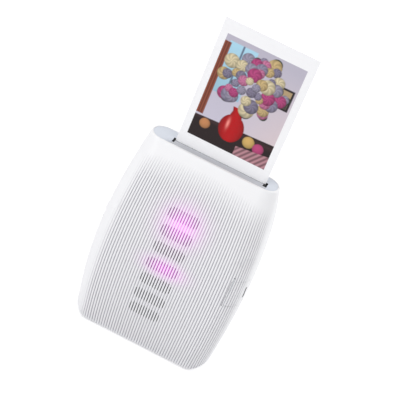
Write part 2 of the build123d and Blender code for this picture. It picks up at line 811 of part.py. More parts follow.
def make_chips():
    """Packages on the front of the main board: x, z, width, height, thickness."""
    packages = (
        (-12.0, 66.0, 12.0, 12.0, 1.2),
        (-12.0, 50.0, 9.0, 11.0, 1.0),
        (24.0, 70.0, 6.0, 6.0, 1.0),
        (15.0, 68.0, 4.5, 4.5, 2.2),
        (30.0, 73.0, 3.5, 5.0, 1.4),
        (4.0, 42.0, 9.0, 4.0, 2.6),
        (0.0, 80.5, 14.0, 4.6, board_front - head_front),
    )
    for x, z, width, height, thickness in packages:
        yield block(
            x - width / 2, x + width / 2, board_front - thickness, board_front, z - height / 2, z + height / 2
        )


def make_port():
    """The charging socket: a rounded tube, closed at its back."""

    def tube(width, depth, radius, x0, x1):
        face = Plane.YZ * RectangleRounded(depth, width, radius)
        return Pos(x0, port_y, port_level) * extrude(face, amount=x1 - x0)

    back = port_mouth_x - port_length
    socket = tube(port_width_z, port_depth_y, 1.5, back, port_mouth_x)
    return socket - tube(port_width_z - 0.6, port_depth_y - 0.6, 1.2, back + 0.6, port_mouth_x + 1)


port_tongue = block(
    port_mouth_x - port_length + 0.6, port_mouth_x - 1.2, port_y - 0.35, port_y + 0.35,
    port_level - 3.3, port_level + 3.3,
)

reset_tip = half_width(reset_level) - cover_thickness - cover_seam - 0.4
reset_back = reset_tip - 4.0
reset_flange = half_width(reset_level) - wall - 0.5
reset_button = rod_x(reset_back, reset_tip, port_y, reset_level, reset_radius)
reset_button += rod_x(reset_flange - 0.7, reset_flange, port_y, reset_level, reset_radius + 0.5)
reset_button -= rod_x(reset_tip - 0.2, reset_tip + 1, port_y, reset_level, 0.5)
reset_switch = block(
    reset_back - reset_travel - 0.1 - 3, reset_back - reset_travel - 0.1, board_front - 3.0, board_front,
    reset_level - 1.5, reset_level + 1.2,
)

power_face = -half_width(power_level) - 0.1
power_flange = -half_width(power_level) + wall + 0.5
power_back = power_flange + 4.2
power_button = rod_x(power_face, power_flange + 0.8, power_y, power_level, power_radius)
power_button += rod_x(power_flange, power_flange + 0.8, power_y, power_level, power_radius + 0.9)
power_button += rod_x(power_flange, power_back, power_y, power_level, 1.2)
power_button = fillet(power_button.edges().group_by(Axis.X)[0], 0.5)
switch_x0 = power_back + power_travel + 0.1
button_board_x0 = frame_left - 3.5 - 1.0
power_switch = block(switch_x0, button_board_x0, power_y - 3, power_y + 2, power_level - 2.5, power_level + 2.5)
button_board = block(button_board_x0, frame_left - 3.5, power_y - 5, 0, power_level - 8, power_level + 8)

battery_low = 7.5
battery = block(board_left, 30, plate_front - 7.0, plate_front - 1.0, battery_low, battery_low + 28)
battery = fillet(battery.edges().filter_by(Axis.X), 1.5)
battery_pad = block(-15, 25, plate_front - 1.0, plate_front, battery_low + 4, battery_low + 24)

light_board_rear = board_front - 4.5
light_board_front = light_board_rear - 0.8
light_low = 52.0
light_high = 92.0
light_board = block(light_x - 8, light_x + 8, light_board_front, light_board_rear, light_low, light_high)
led_thickness = 0.9
guide_rear = light_board_front - led_thickness - 0.2
guide_front = guide_rear - 1.3


def make_leds():
    for level in light_levels:
        yield block(
            light_x - 1.8, light_x + 1.8, light_board_front - led_thickness, light_board_front,
            level - 1.4, level + 1.4,
        )


def make_light_guide():
    plate = block(light_x - 10, light_x + 10, guide_front, guide_rear, light_low - 2, light_high + 4)
    for x in (light_x - 7, light_x + 7):
        for z in (light_low + 1, light_high - 1):
            plate += rod_y(guide_rear, light_board_front, x, z, 0.7)
    return plate


def make_spacers():
    for x in (light_x - 6.5, light_x + 6.5):
        for z in (light_low + 2.5, light_low + 23):
            yield rod_y(light_board_rear, board_front, x, z, 1.2)


shield = block(14, 33, board_front - 2.2, board_front, 44, 56)
shield -= block(14.2, 32.8, board_front - 2.0, board_front + 1, 44.2, 55.8)

save(make_board(), "main_board")
save_group(make_chips(), "board_chips")
save(shield, "radio_shield")
save(make_port(), "charging_port")
save(port_tongue, "charging_port_tongue")
save(reset_button, "reset_button")
save(reset_switch, "reset_switch")
save(power_button, "power_button")
save(power_switch, "power_switch")
save(button_board, "button_board")
save(battery, "battery")
save(battery_pad, "battery_pad")
save(light_board, "light_board")
save_group(make_leds(), "light_leds")
save(make_light_guide(), "light_guide")
save_group(make_spacers(), "light_board_spacers")


# ---------------------------------------------------------------- screws
def make_screw(x, z, head_face, length, radius, head_radius, head_height, way):
    """A screw along Y. way is +1 where its head points to the back, -1 where it points to the front."""
    head = sorted((head_face, head_face - way * head_height))
    shank = sorted((head[0] if way > 0 else head[1], (head[0] if way > 0 else head[1]) - way * length))
    screw = rod_y(head[0], head[1], x, z, head_radius) + rod_y(shank[0], shank[1], x, z, radius)
    outside = head_face - way * 0.4
    return screw - rod_y(*sorted((outside, head_face + way)), x, z, head_radius * 0.45)


def make_frame_screws():
    for x, z in frame_boss_places:
        yield make_screw(
            x, z, plate_rear - 0.1, 6.0, screw_radius, screw_head_radius, screw_head_height, 1
        )


def make_board_screws():
    for x, z in board_screw_places:
        yield make_screw(
            x, z, board_front - 1.0, 2.9, small_screw_radius, small_screw_head_radius, 1.0, -1
        )


def make_case_screws():
    head = 1.3
    for z in case_screw_levels:
        yield make_screw(
            case_screw_x, z, parting_y + 3 + head, 11.0, screw_radius, screw_head_radius, head, 1
        )


save_group(make_frame_screws(), "frame_screws")
save_group(make_board_screws(), "board_screws")
save_group(make_case_screws(), "case_screws")
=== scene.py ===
import json
import math
import random

import bmesh
import bpy
import numpy as np
from bpy.props import FloatProperty, IntProperty, PointerProperty, StringProperty
from mathutils import Matrix, Vector

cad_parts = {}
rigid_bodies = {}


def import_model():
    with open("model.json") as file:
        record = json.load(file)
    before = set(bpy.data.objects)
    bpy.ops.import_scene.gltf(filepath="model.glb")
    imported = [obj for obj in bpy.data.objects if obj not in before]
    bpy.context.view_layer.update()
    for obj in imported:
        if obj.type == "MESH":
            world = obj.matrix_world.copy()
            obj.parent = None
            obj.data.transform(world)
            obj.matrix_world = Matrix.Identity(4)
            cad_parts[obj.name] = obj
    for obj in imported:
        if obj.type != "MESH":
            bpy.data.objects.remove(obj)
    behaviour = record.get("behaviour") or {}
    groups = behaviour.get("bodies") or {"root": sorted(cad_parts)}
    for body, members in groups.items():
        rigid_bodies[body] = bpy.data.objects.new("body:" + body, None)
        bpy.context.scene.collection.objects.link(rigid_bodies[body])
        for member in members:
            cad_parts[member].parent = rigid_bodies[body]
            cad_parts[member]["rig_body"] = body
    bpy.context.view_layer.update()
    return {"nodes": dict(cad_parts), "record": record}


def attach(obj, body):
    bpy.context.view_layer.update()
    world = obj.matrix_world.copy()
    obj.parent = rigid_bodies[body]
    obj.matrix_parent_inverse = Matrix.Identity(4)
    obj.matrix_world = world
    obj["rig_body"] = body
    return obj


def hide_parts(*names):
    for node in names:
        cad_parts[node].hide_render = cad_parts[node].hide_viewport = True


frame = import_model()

bl_info = {
    "name": "Compact photo printer",
    "version": (1, 0, 0),
    "blender": (4, 5, 0),
    "location": "3D View > Sidebar > Printer",
    "description": "Makes the looks of a compact photo printer round its CAD frame",
    "category": "Object",
}

MM = 0.001
DOUBLE = 1e-6  # points closer than this are one, in metres

# ---- the casing's rule, in millimetres
CASING_TOP = 125.5
WIDEST = (58.0, 45.0)  # level and half width
DEEPEST = (58.0, 18.65)  # level and depth of the front
HALF_WIDTH_TOP, HALF_WIDTH_BASE = 38.04, 41.2
FRONT_TOP, FRONT_BASE = 7.94, 10.74
EDGE_RADIUS, EDGE_FLAT = 13.0, 0.3
BASE_RADIUS = 11.0
PARTING = 3.0  # the shells meet here, along Y
FOOT_ROUND, RIM_ROUND = 0.8, 0.5
FOOT_FRONT = 1.9  # the lower edge is rounder in the middle of the front
CORNER_FRONT = 14.0  # and so are the lower corners
CORNER_CHANGE = -2.0, 8.0  # from this Y on, over this length, the corners turn rounder


def eased(share):
    """A share, held between 0 and 1, with a gentle start and end."""
    share = np.clip(share, 0, 1)
    return share**2 * (3 - 2 * share)


def bowed(z, widest, top, base):
    """A size at a level: it is greatest at one level, and falls with the square of the way to both ends."""
    level, most = widest
    above, below = (
        (most - end) * np.clip((z - level) / (stop - level), 0, None) ** 2
        for end, stop in ((top, CASING_TOP), (base, 0.0))
    )
    return most - above - below


def half_width(z):
    """From the middle to the casing's side at a level."""
    return bowed(z, WIDEST, HALF_WIDTH_TOP, HALF_WIDTH_BASE)


def front_depth(z):
    """From the casing's middle plane to its front at a level."""
    return bowed(z, DEEPEST, FRONT_TOP, FRONT_BASE)


def edge_radius(z):
    """Radius of the upright front edges at a level."""
    return np.minimum(EDGE_RADIUS, front_depth(z) - EDGE_FLAT)


def edge_frame(x, y, z):
    """Edge radius, half the flat front, way right and forwards from the edge's centre, and past the outline."""
    radius = edge_radius(z)
    flat = half_width(z) - radius
    right, front = np.abs(x) - flat, -y - (front_depth(z) - radius)
    past = np.where((right > 0) & (front > 0), np.hypot(right, front), np.maximum(right, front)) - radius
    return radius, flat, right, front, past


def corner_reach(z, y):
    """Half width that the lower corners leave. They are rounder at the front than at the parting line."""
    start, over = CORNER_CHANGE
    radius = BASE_RADIUS + (CORNER_FRONT - BASE_RADIUS) * eased((start - y) / over)
    drop = np.clip(radius - z, 0, radius)
    return np.where(z < radius, half_width(radius) - radius + np.sqrt(radius**2 - drop**2), np.inf)


# ---- settings
def colour(name, hex_value, description):
    return StringProperty(name=name, default=hex_value, description=description)


def number(name, default, description):
    kind = IntProperty if isinstance(default, int) else FloatProperty
    return kind(name=name, default=default, description=description)


def length(name, millimetres, description):
    return FloatProperty(
        name=name, default=millimetres * MM, description=description, unit="LENGTH", subtype="DISTANCE", precision=5
    )


def angle(name, degrees, description):
    return FloatProperty(name=name, default=math.radians(degrees), description=description, subtype="ANGLE")


class PRINTER_PG_ribs(bpy.types.PropertyGroup):
    """Sizes of the moulded ribs and of the light slots between them."""

    pitch: length("Pitch", 1.605, "From rib to rib at the widest level")
    narrowing: number("Narrowing", 0.75, "How far the pitch follows the casing's width")
    shift: length("Shift", 0.2, "Middle crest, right of the casing's middle")
    count: number("Ribs", 60, "Ribs across the front and its edges")
    depth: length("Depth", 0.5, "Depth of a groove")
    roundness: number("Roundness", 3.0, "How full a rib's crest is")
    left_end: length("Left end", 40.5, "End of the ribs, along the surface from the middle")
    right_end: length("Right end", 49.0, "End of the ribs, along the surface from the middle")
    margin: length("Margin", 6.0, "Where the outer ribs fade at each side")
    fade: length("Fade", 18.0, "Over this height a rib rises at its upper end")
    upper_end: length("Upper end", 120.3, "Level at which the middle rib starts")
    upper_drop: length("Upper drop", 3.5, "How much lower a rib starts 30 mm from the middle")
    lower_fade: length("Lower fade", 2.6, "Over this height a rib rises at its lower end")
    slot_depth: length("Slot depth", 0.5, "How much deeper a slot is than its groove")
    slot_height: length("Slot height", 7.0, "Height of one bar of slots")
    slot_end: length("Slot end", 1.1, "How much shorter a bar's outer slots are at each end")
    bar_pitch: length("Bar pitch", 10.88, "From one bar of slots to the next")
    bars_each_way: number("Bars", 3, "Bars above and below the lit bar")
    lit_level: length("Lit bar", 59.6, "Level of the middle bar")


class PRINTER_PG_print(bpy.types.PropertyGroup):
    """Sizes of the print and of its picture."""

    picture_width: length("Picture width", 46.0, "Picture, across")
    picture_height: length("Picture height", 62.0, "Picture, up")
    upper_border: length("Upper border", 7.7, "White border above the picture")
    recess: length("Recess", 0.04, "From the border down to the picture")
    grid: length("Grid", 0.3, "Size of one point of the picture")
    seed: number("Seed", 7, "Draws the places of the blooms")


class PRINTER_PG_cap(bpy.types.PropertyGroup):
    """Sizes of the film exit."""

    # the lip is a real sloping cut; its grey is a painted shadow of the print
    lip_length: length("Lip length", 6.5, "Grey lip in front of the print")
    lip_depth: length("Lip depth", 0.3, "How far the lip drops to the print")
    lip_gap: length("Lip gap", 0.15, "From the lip to the print's face")
    # black pieces at the slot's ends: painted shade of its dark open ends
    left_guide: length("Left guide", 1.3, "Felt film guide left of the lip")
    right_guide: length("Right guide", 2.3, "Felt film guide right of the lip")
    guide_length: length("Guide length", 3.4, "Film guides, front to back")
    guide_drop: length("Guide drop", 0.35, "From the cap's top down to the guides")
    liner_wall: length("Liner wall", 0.2, "Wall of the black slot liner")


class PRINTER_PG_screws(bpy.types.PropertyGroup):
    """Sizes of the screws' cross recess."""

    recess_width: length("Recess width", 0.55, "Width of one arm of the cross")
    recess_reach: number("Recess reach", 0.62, "Cross to head, as a share")
    recess_depth: length("Recess depth", 0.5, "Depth of the cross")


class PRINTER_PG_colours(bpy.types.PropertyGroup):
    """Colours of the printer, as sRGB hex values."""

    casing: colour("Casing", "F6F6F8", "White moulded ABS")
    groove: colour("Groove", "A3A1AB", "Shade in a groove")
    # painted shade: this dark grey stands for the shade in the slots
    slot: colour("Slot", "55545C", "Smoked plastic in a slot")
    # painted glow: the lamps' light through the casing is painted into its colour and a weak emission
    glow: colour("Glow", "EE6CEC", "Light that shines through the slots")
    glow_crest: colour("Lit crest", "FBDFFB", "A rib with a light behind it")
    glow_groove: colour("Lit groove", "E8A2E8", "A groove with a light behind it")
    glow_slot: colour("Lit slot", "C258C6", "A slot with a light behind it")
    cap: colour("Cap", "D9DEE8", "Pale blue-grey end cap")
    # painted shadow: the print's shadow on the lip, laid in as this grey
    lip: colour("Lip", "C8CAD0", "Grey lip of the film exit")
    film: colour("Film", "FBFBFD", "Border of the print")


class PRINTER_PG_stage(bpy.types.PropertyGroup):
    """Camera and studio light."""

    azimuth: angle("Azimuth", 6.63, "Camera round the printer")
    elevation: angle("Elevation", 31.64, "Camera above the horizon")
    roll: angle("Roll", 23.2, "How far the printer leans right in the picture")
    distance: length("Distance", 797.0, "Camera to the printer's middle")
    focal: number("Focal length", 1425.0, "In pixels of a 400 pixel picture")
    middle_x: number("Middle X", 174.8, "Pixel of the printer's middle, across")
    middle_y: number("Middle Y", 254.0, "Pixel of the printer's middle, down")
    middle_level: length("Middle level", 60.0, "Level of the printer's middle")
    lamp_power: number("Lamps", 1.0, "Share of the lamps' full power")
    room: number("Room", 0.73, "Strength of the even white light all round")
    floor: colour("Floor", "DADADC", "Pale matt floor")
    floor_lift: number("Floor lift", 0.52, "Glow that makes the floor white in the picture, and lights nothing")


# ---- small helpers
def linear(hex_value):
    """An sRGB hex value as linear red, green, blue and alpha."""
    values = (int(hex_value[start:start + 2], 16) / 255 for start in (0, 2, 4))
    return (*(v / 12.92 if v <= 0.04045 else ((v + 0.055) / 1.055) ** 2.4 for v in values), 1.0)


def connect(tree, node, inputs):
    """Sets sockets, by name or number, to values, or links them to sockets, nodes or lists of these."""
    for key, value in inputs.items():
        named = (socket for socket in node.inputs if socket.enabled and socket.name == key)
        target = node.inputs[key] if isinstance(key, int) else next(named)
        for source in value if isinstance(value, list) else [value]:
            if isinstance(source, bpy.types.Node):
                source = next(s for s in source.outputs if s.enabled)
            if isinstance(source, bpy.types.NodeSocket):
                tree.links.new(source, target)
            else:
                target.default_value = source


def add_node(tree, kind, inputs=None, **settings):
    """Adds a node with its settings and its inputs."""
    node = tree.nodes.new(kind)
    for name, value in settings.items():
        setattr(node, name, value)
    connect(tree, node, inputs or {})
    return node


def new_material(name):
    """An empty material, with its shader and its object coordinates in metres."""
    material = bpy.data.materials.new(name)
    material.use_nodes = True
    tree = material.node_tree
    place = add_node(tree, "ShaderNodeTexCoord").outputs["Object"]
    return material, tree, tree.nodes["Principled BSDF"], place


def new_tree(name, **inputs):
    """An empty geometry nodes tree with one geometry output and named inputs, and its input node."""
    tree = bpy.data.node_groups.new(name, "GeometryNodeTree")
    for label, kind in {"Geometry": "Geometry", **inputs, "Material": "Material"}.items():
        tree.interface.new_socket(name=label.replace("_", " "), in_out="INPUT", socket_type="NodeSocket" + kind)
    tree.interface.new_socket(name="Geometry", in_out="OUTPUT", socket_type="NodeSocketGeometry")
    return tree, add_node(tree, "NodeGroupInput").outputs


def end_tree(tree, geometry, material):
    """Ends a tree in real meshes that carry their material."""
    geometry = add_node(tree, "GeometryNodeRealizeInstances", {"Geometry": geometry})
    geometry = add_node(tree, "GeometryNodeSetMaterial", {"Geometry": geometry, "Material": material})
    add_node(tree, "NodeGroupOutput", {"Geometry": geometry})


def show(name, data):
    """Puts a mesh, lamp or camera in the scene as an object."""
    made = bpy.data.objects.new(name, data)
    bpy.context.scene.collection.objects.link(made)
    return made


def mesh_object(name, vertices, faces=()):
    """A mesh object at the origin, from vertices in metres."""
    mesh = bpy.data.meshes.new(name)
    mesh.from_pydata([tuple(v) for v in vertices], [], [tuple(f) for f in faces])
    mesh.update()
    return show(name, mesh)


def set_values(mesh, name, values, kind="FLOAT"):
    """Writes one value or colour for each point of a mesh."""
    layer = mesh.attributes.get(name) or mesh.attributes.new(name, kind, "POINT")
    layer.data.foreach_set("value" if kind == "FLOAT" else "color", np.asarray(values, np.float32).reshape(-1))


def plain_mesh(source, name):
    """The evaluated object as a plain mesh object, and the source removed."""
    bpy.context.view_layer.update()
    evaluated = source.evaluated_get(bpy.context.evaluated_depsgraph_get())
    mesh = bpy.data.meshes.new_from_object(evaluated)
    mesh.name = name
    bpy.data.objects.remove(source)
    return show(name, mesh)


def run_tree(made, tree, name, **values):
    """Runs a geometry nodes tree on an object, its inputs set first, and gives the plain result."""
    modifier = made.modifiers.new(tree.name, "NODES")
    modifier.node_group = tree
    sockets = {item.name: item.identifier for item in tree.interface.items_tree if item.in_out == "INPUT"}
    for key, value in values.items():
        modifier[sockets[key.replace("_", " ")]] = value
    return plain_mesh(made, name)


FEWEST_FACES = 4  # of a closed solid


def cut(made, tool, operation, name):
    """One closed mesh cut with another, the tool removed."""
    trim = made.modifiers.new("trim", "BOOLEAN")
    trim.operation, trim.solver, trim.object = operation, "MANIFOLD", tool
    result = plain_mesh(made, name)
    bpy.data.objects.remove(tool)
    if len(result.data.polygons) < FEWEST_FACES:
        raise RuntimeError(f"{name} came out empty")
    return result


def smooth_by_angle(made, degrees):
    """Shades a piece smooth, but for edges sharper than an angle."""
    made.data.shade_smooth()
    made.data.set_sharp_from_angle(angle=math.radians(degrees))


def merged(node):
    """A CAD node's mesh for editing, its doubles merged."""
    body = bmesh.new()
    body.from_mesh(frame["nodes"][node].data)
    bmesh.ops.remove_doubles(body, verts=body.verts, dist=DOUBLE)
    return body


def merged_copy(node):
    """A closed copy of a CAD node's mesh."""
    mesh, body = frame["nodes"][node].data.copy(), merged(node)
    body.to_mesh(mesh)
    body.free()
    mesh.materials.clear()
    return show(node + "_copy", mesh)


def islands(node):
    """Lowest and highest corner of each separate solid of a CAD node, in metres."""
    body = merged(node)
    left = set(body.verts)
    found = []
    while left:
        group = {left.pop()}
        edge = list(group)
        while edge:
            near = {v for link in edge.pop().link_edges for v in link.verts} - group
            group |= near
            edge += near
        left -= group
        corners = np.array([v.co for v in group])
        found.append((corners.min(0), corners.max(0)))
    body.free()
    return sorted(found, key=lambda box: tuple(np.round(box[0], 6)))


def finish(made, node, replaces=True):
    """The piece rides with a CAD node's body, and stands for the node."""
    if replaces:
        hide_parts(node)
    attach(made, frame["nodes"][node]["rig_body"])


# ---- finishes of the CAD pieces
EVEN = 1, 1, 1  # a grain that is not stretched


def surface(name, hex_value, roughness, grain_mm, depth_mm, spread, ior, stretch=EVEN, others=None):
    """A solid finish: a real grain in its bump and roughness, and a colour that drifts over some 9 mm."""
    material, tree, shader, place = new_material(name)
    along = add_node(tree, "ShaderNodeMapping", {"Vector": place, "Scale": stretch})
    grain = add_node(tree, "ShaderNodeTexNoise", {"Vector": along, "Scale": 1 / (grain_mm * MM), "Detail": 2.0})
    drift = add_node(tree, "ShaderNodeTexNoise", {"Vector": place, "Scale": 1 / (9 * MM)})
    tone = np.array(linear(hex_value)[:3])
    dark, light = (*tone * (1 - spread), 1.0), (*np.minimum(tone * (1 + spread), 1.0), 1.0)
    rough = {"Value": grain, "To Min": roughness * 0.9, "To Max": min(1.0, roughness * 1.1)}
    connect(tree, shader, {
        "Base Color": add_node(tree, "ShaderNodeMix", {"Factor": drift, "A": dark, "B": light}, data_type="RGBA"),
        "Roughness": add_node(tree, "ShaderNodeMapRange", rough),
        "Normal": add_node(tree, "ShaderNodeBump", {"Height": grain, "Distance": depth_mm * MM}),
        "IOR": ior,
        **(others or {}),
    })
    return material


# for each slot of the record: name, colour or its setting, roughness, grain and its depth in millimetres, drift of
# the colour, IOR, stretch of the grain, other sockets of the shader
FINISHES = {
    # moulded ABS: white, satin, its spark-eroded grain too fine to see as dots
    "casing_white": ("abs_casing_white", "casing", 0.38, 0.35, 0.004, 0.008, 1.53),
    # the same plastic, pale blue-grey, from a blasted mould, so a little more matt
    "cap_blue_grey": ("abs_cap_blue_grey", "cap", 0.5, 0.3, 0.006, 0.015, 1.53),
    # black ABS of the inner frame: unpainted, with soft wide highlights
    "frame_black": ("abs_frame_black", "1B1B1D", 0.48, 0.5, 0.01, 0.08, 1.53),
    # black polystyrene of the film pack: shinier than ABS
    "pack_black": ("polystyrene_pack_black", "161618", 0.35, 0.6, 0.008, 0.08, 1.59),
    # drawn steel: drawing lines run along X and stretch the highlights
    "steel": ("drawn_steel", "B9BBBF", 0.26, 0.25, 0.002, 0.05, 1.5, (0.06, 1, 1), {"Metallic": 1.0}),
    # hard spring wire: darker and cleaner than the drawn parts
    "spring_steel": ("spring_steel", "A2A4A9", 0.3, 0.2, 0.002, 0.06, 1.5, EVEN, {"Metallic": 1.0}),
    # moulded acetal: creamy white and waxy
    "gear_white": ("acetal_gear", "E9E6DC", 0.32, 0.4, 0.004, 0.02, 1.48),
    # the motor's nickel plated can: bright, faintly orange-peeled
    "motor_can": ("nickel_motor_can", "C4C5C7", 0.3, 0.8, 0.003, 0.05, 1.5, EVEN, {"Metallic": 1.0}),
    # solder mask: dark glossy green, mottled at the traces' scale, about 0.8 mm
    "board_green": ("solder_mask_green", "14502F", 0.33, 0.8, 0.01, 0.2, 1.55, (1, 1, 0.25)),
    # moulded epoxy of the chips: dull black with a sanded look
    "chip_black": ("epoxy_chip_black", "151517", 0.55, 0.2, 0.01, 0.1, 1.55),
    # aluminium laminate pouch of the battery: dull silver with 3 mm wrinkles
    "battery_wrap": ("foil_battery_pouch", "8B9097", 0.36, 3.0, 0.08, 0.06, 1.5, EVEN, {"Metallic": 0.7}),
    # open-cell foam: matt grey, its 0.35 mm cells as bumps
    "foam_grey": ("polyurethane_foam_grey", "434347", 0.9, 0.35, 0.12, 0.2, 1.45),
    # wool felt of the light seals: deep black, its fibres lie along X
    "felt_black": ("wool_felt_black", "080809", 0.95, 0.15, 0.12, 0.3, 1.45, (0.3, 1, 1), {"Sheen Weight": 0.08}),
    # glass filled nylon of the exposure head: black with a faint glassy speckle
    "head_black": ("glass_filled_nylon_black", "141416", 0.5, 0.3, 0.01, 0.1, 1.53),
    # polyimide film of the flat cable: glossy amber
    "flex_amber": ("polyimide_flex_amber", "B5701B", 0.25, 1.5, 0.01, 0.1, 1.7),
    # opal acrylic of the light guide: milky white, spreads the lamps' light
    "diffuser": ("opal_acrylic", "ECE9F0", 0.3, 0.6, 0.002, 0.01, 1.49),
    # polyester base of the film sheets: smooth and glossy white
    "film_paper": ("polyester_film", "film", 0.22, 0.5, 0.001, 0.01, 1.57),
    # tinned steel of the charging socket: bright with a soft bloom
    "socket_steel": ("tinned_steel_socket", "C3C5C8", 0.25, 0.2, 0.002, 0.05, 1.5, EVEN, {"Metallic": 1.0}),
    # crown glass rod of the exposure head: clear
    "lens_clear": ("crown_glass_rod", "E8F0F4", 0.04, 2.0, 0.0, 0.0, 1.52, EVEN, {"Transmission Weight": 1.0}),
    # the lamps' epoxy domes: lit magenta
    "led_magenta": (
        "epoxy_led_magenta", "FF8CFF", 0.3, 1.0, 0.0, 0.0, 1.5, EVEN,
        {"Emission Color": linear("EE6CEC"), "Emission Strength": 2.5},
    ),
}


def make_finishes(colours):
    """One material for each real finish, by the record's slot."""
    return {
        slot: surface(name, getattr(colours, tone, tone), *values) for slot, (name, tone, *values) in FINISHES.items()
    }


# ---- ribbed casing
# centre across, level, radius across and radius up of each place lit by painted glow, in millimetres
GLOWS = ((-0.5, 87.5, 13.0, 13.0), (0.4, 59.6, 13.0, 6.0))
GLOW_FALL = 1.4  # how fast a glow fades past its radius
GLOW_FRONT = -8.0  # only what lies in front of this Y is lit
SLOT_GROOVES = (-6, 5)  # first and last groove with slots, counted from the middle rib
SLOT_SHARPNESS = 4.0  # how much narrower a slot is than its groove
SLOT_STEP = 0.25  # a slot's end slopes over this height
SNAP = 0.01  # a row of points this near a slot's end belongs to it
RIB_FOOT = 0.4  # the ribs end this far above the casing's lower edge
DROP_AT = 30.0  # from the middle to where the upper drop of the ribs is given
RIB_COLUMNS = 8  # columns of points on one rib
SIDE_COLUMNS = 20  # and from the last rib to the parting line
PAST_PARTING = 1.5  # how far the blank goes on beyond the parting line
SKIN = 1.4  # points this near the casing's surface take the ribs' paint
ON_SURFACE = 0.06  # CAD points this near the casing's rule lie on it


def rib_pitch(z, ribs):
    """The ribs' pitch in millimetres: it narrows with the casing."""
    return ribs.pitch / MM * (1 - ribs.narrowing * (1 - half_width(z) / WIDEST[1]))


def bar_levels(ribs):
    """Middle level of each bar of slots."""
    ways = range(-ribs.bars_each_way, ribs.bars_each_way + 1)
    return [(ribs.lit_level + n * ribs.bar_pitch) / MM for n in ways]


def rib_levels(ribs):
    """Levels of the blank's rows: close together where it curves, fades or has slots."""
    # a little past both ends, then every 2 mm
    levels = {-0.6, -0.3, CASING_TOP + 0.7, *np.arange(CORNER_FRONT + 2, CASING_TOP - 1, 2.0)}
    for radius, rows in ((CORNER_FRONT, 16), (FOOT_FRONT, 8)):
        levels |= {*np.round(radius * (1 - np.cos(np.linspace(0, math.pi / 2, rows))), 4)}
    levels |= {*np.round(CASING_TOP - RIM_ROUND * np.sin(np.linspace(0, math.pi / 2, 6)), 4)}
    half, end, nearest = ribs.slot_height / MM / 2, ribs.slot_end / MM, 0.04
    for level in bar_levels(ribs):
        for edge in (half, half - end):
            levels |= {round(level + side * (edge + step), 3) for side in (-1, 1) for step in (0, SLOT_STEP)}
    ordered = sorted(levels)
    return np.array([z for z, later in zip(ordered, ordered[1:] + [math.inf]) if later - z > nearest])


def end_inset(levels, phase, ribs):
    """How far the outline draws in at the rounded lower and upper edges."""
    foot = FOOT_ROUND + (FOOT_FRONT - FOOT_ROUND) * np.clip(1.5 - 2 * np.abs(phase) / ribs.count, 0, 1)
    low = np.clip(foot - levels, 0, foot)
    high = np.clip(levels - (CASING_TOP - RIM_ROUND), 0, RIM_ROUND)
    return foot - np.sqrt(foot**2 - low**2) + RIM_ROUND - np.sqrt(RIM_ROUND**2 - high**2)


def outline(z, inset, phase, ribs):
    """The casing's front half at each level: points at a rib's phase, then on to the parting line."""
    wide, deep, radius = half_width(z) - inset, front_depth(z) - inset, edge_radius(z) - inset
    flat, arc = wide - radius, math.pi / 2 * radius
    total = flat + arc + (deep - radius) + PARTING
    edge = np.abs(phase).clip(max=ribs.count / 2) * rib_pitch(z, ribs)
    past = np.clip(np.abs(phase) - ribs.count / 2, 0, None)
    along = edge + past * (total - edge)
    turn = np.clip((along - flat) / radius, 0, math.pi / 2)
    x = np.minimum(along, flat) + radius * np.sin(turn)
    y = -deep + radius * (1 - np.cos(turn)) + np.clip(along - flat - arc, 0, None)
    return np.sign(phase) * np.minimum(x, corner_reach(z, y)), y


BLANK_VALUES = ("rib", "reach", "slot")


def make_blank(ribs):
    """A closed smooth blank of the casing's front half, with the ribs' place in its attributes."""
    inner = np.linspace(-ribs.count / 2, ribs.count / 2, ribs.count * RIB_COLUMNS + 1)
    outer = ribs.count / 2 + np.linspace(0, 1, SIDE_COLUMNS + 1)[1:]
    phase = np.concatenate([-outer[::-1], inner, outer])[None, :]
    z = rib_levels(ribs)[:, None]
    x, y = outline(z, end_inset(z, phase, ribs), phase, ribs)
    # one more column at each end takes the blank past the parting line
    x, y = (np.pad(grid, ((0, 0), (1, 1)), "edge") for grid in (x, y))
    y[:, [0, -1]] += PAST_PARTING
    z = np.broadcast_to(z, x.shape)
    rows, columns = x.shape
    index = np.arange(rows * columns).reshape(rows, columns)
    beside = np.roll(index, -1, axis=1)
    faces = np.stack([index[:-1], beside[:-1], beside[1:], index[1:]], axis=-1).reshape(-1, 4).tolist()
    faces += [index[0][::-1].tolist(), index[-1].tolist()]
    blank = mesh_object("casing_blank", np.stack([x, y, z], axis=-1).reshape(-1, 3) * MM, faces)
    values = rib_values(x, y, z, ribs)
    for name in BLANK_VALUES:
        set_values(blank.data, name, values[name])
    return blank


def rib_values(x, y, z, ribs):
    """For points on the casing or under it: their place across the ribs, the ribs' rise, slots and light."""
    radius, flat, right, front, _ = edge_frame(x, y, z)
    round_edge = flat + radius * np.arctan2(np.clip(right, 0, None), np.clip(front, 1e-6, None))
    along = np.where(right < 0, np.abs(x), round_edge - np.clip(front, None, 0))
    # groove centres lie at whole numbers of rib, and the middle rib's crest is shifted sideways
    rib = np.sign(x) * along / rib_pitch(z, ribs) - ribs.shift / ribs.pitch + 0.5
    rise = np.clip((ribs.upper_end - ribs.upper_drop * (along / DROP_AT) ** 2 - z * MM) / ribs.fade, 0, 1)
    span = np.where(x < 0, ribs.left_end, ribs.right_end) / ribs.pitch * rib_pitch(z, ribs) - along
    reach = rise * (2 - rise) * eased(span * MM / ribs.margin) * eased((z - RIB_FOOT) * MM / ribs.lower_fade)
    first, last = SLOT_GROOVES
    groove = np.round(rib)
    half, end = ribs.slot_height / MM / 2 + SNAP, ribs.slot_end / MM
    slot = np.zeros_like(x)
    for level in bar_levels(ribs):
        off = np.abs(z - level)
        slot += (groove > first) & (groove < last) & (off <= half)
        slot += ((groove == first) | (groove == last)) & (off <= half - end)
    lit = sum(
        np.exp(-GLOW_FALL * (((x - across) / wide) ** 2 + ((z - level) / high) ** 2))
        for across, level, wide, high in GLOWS
    )
    return {"rib": rib, "reach": reach, "slot": slot, "lit": lit.clip(0, 1) * (y < GLOW_FRONT)}


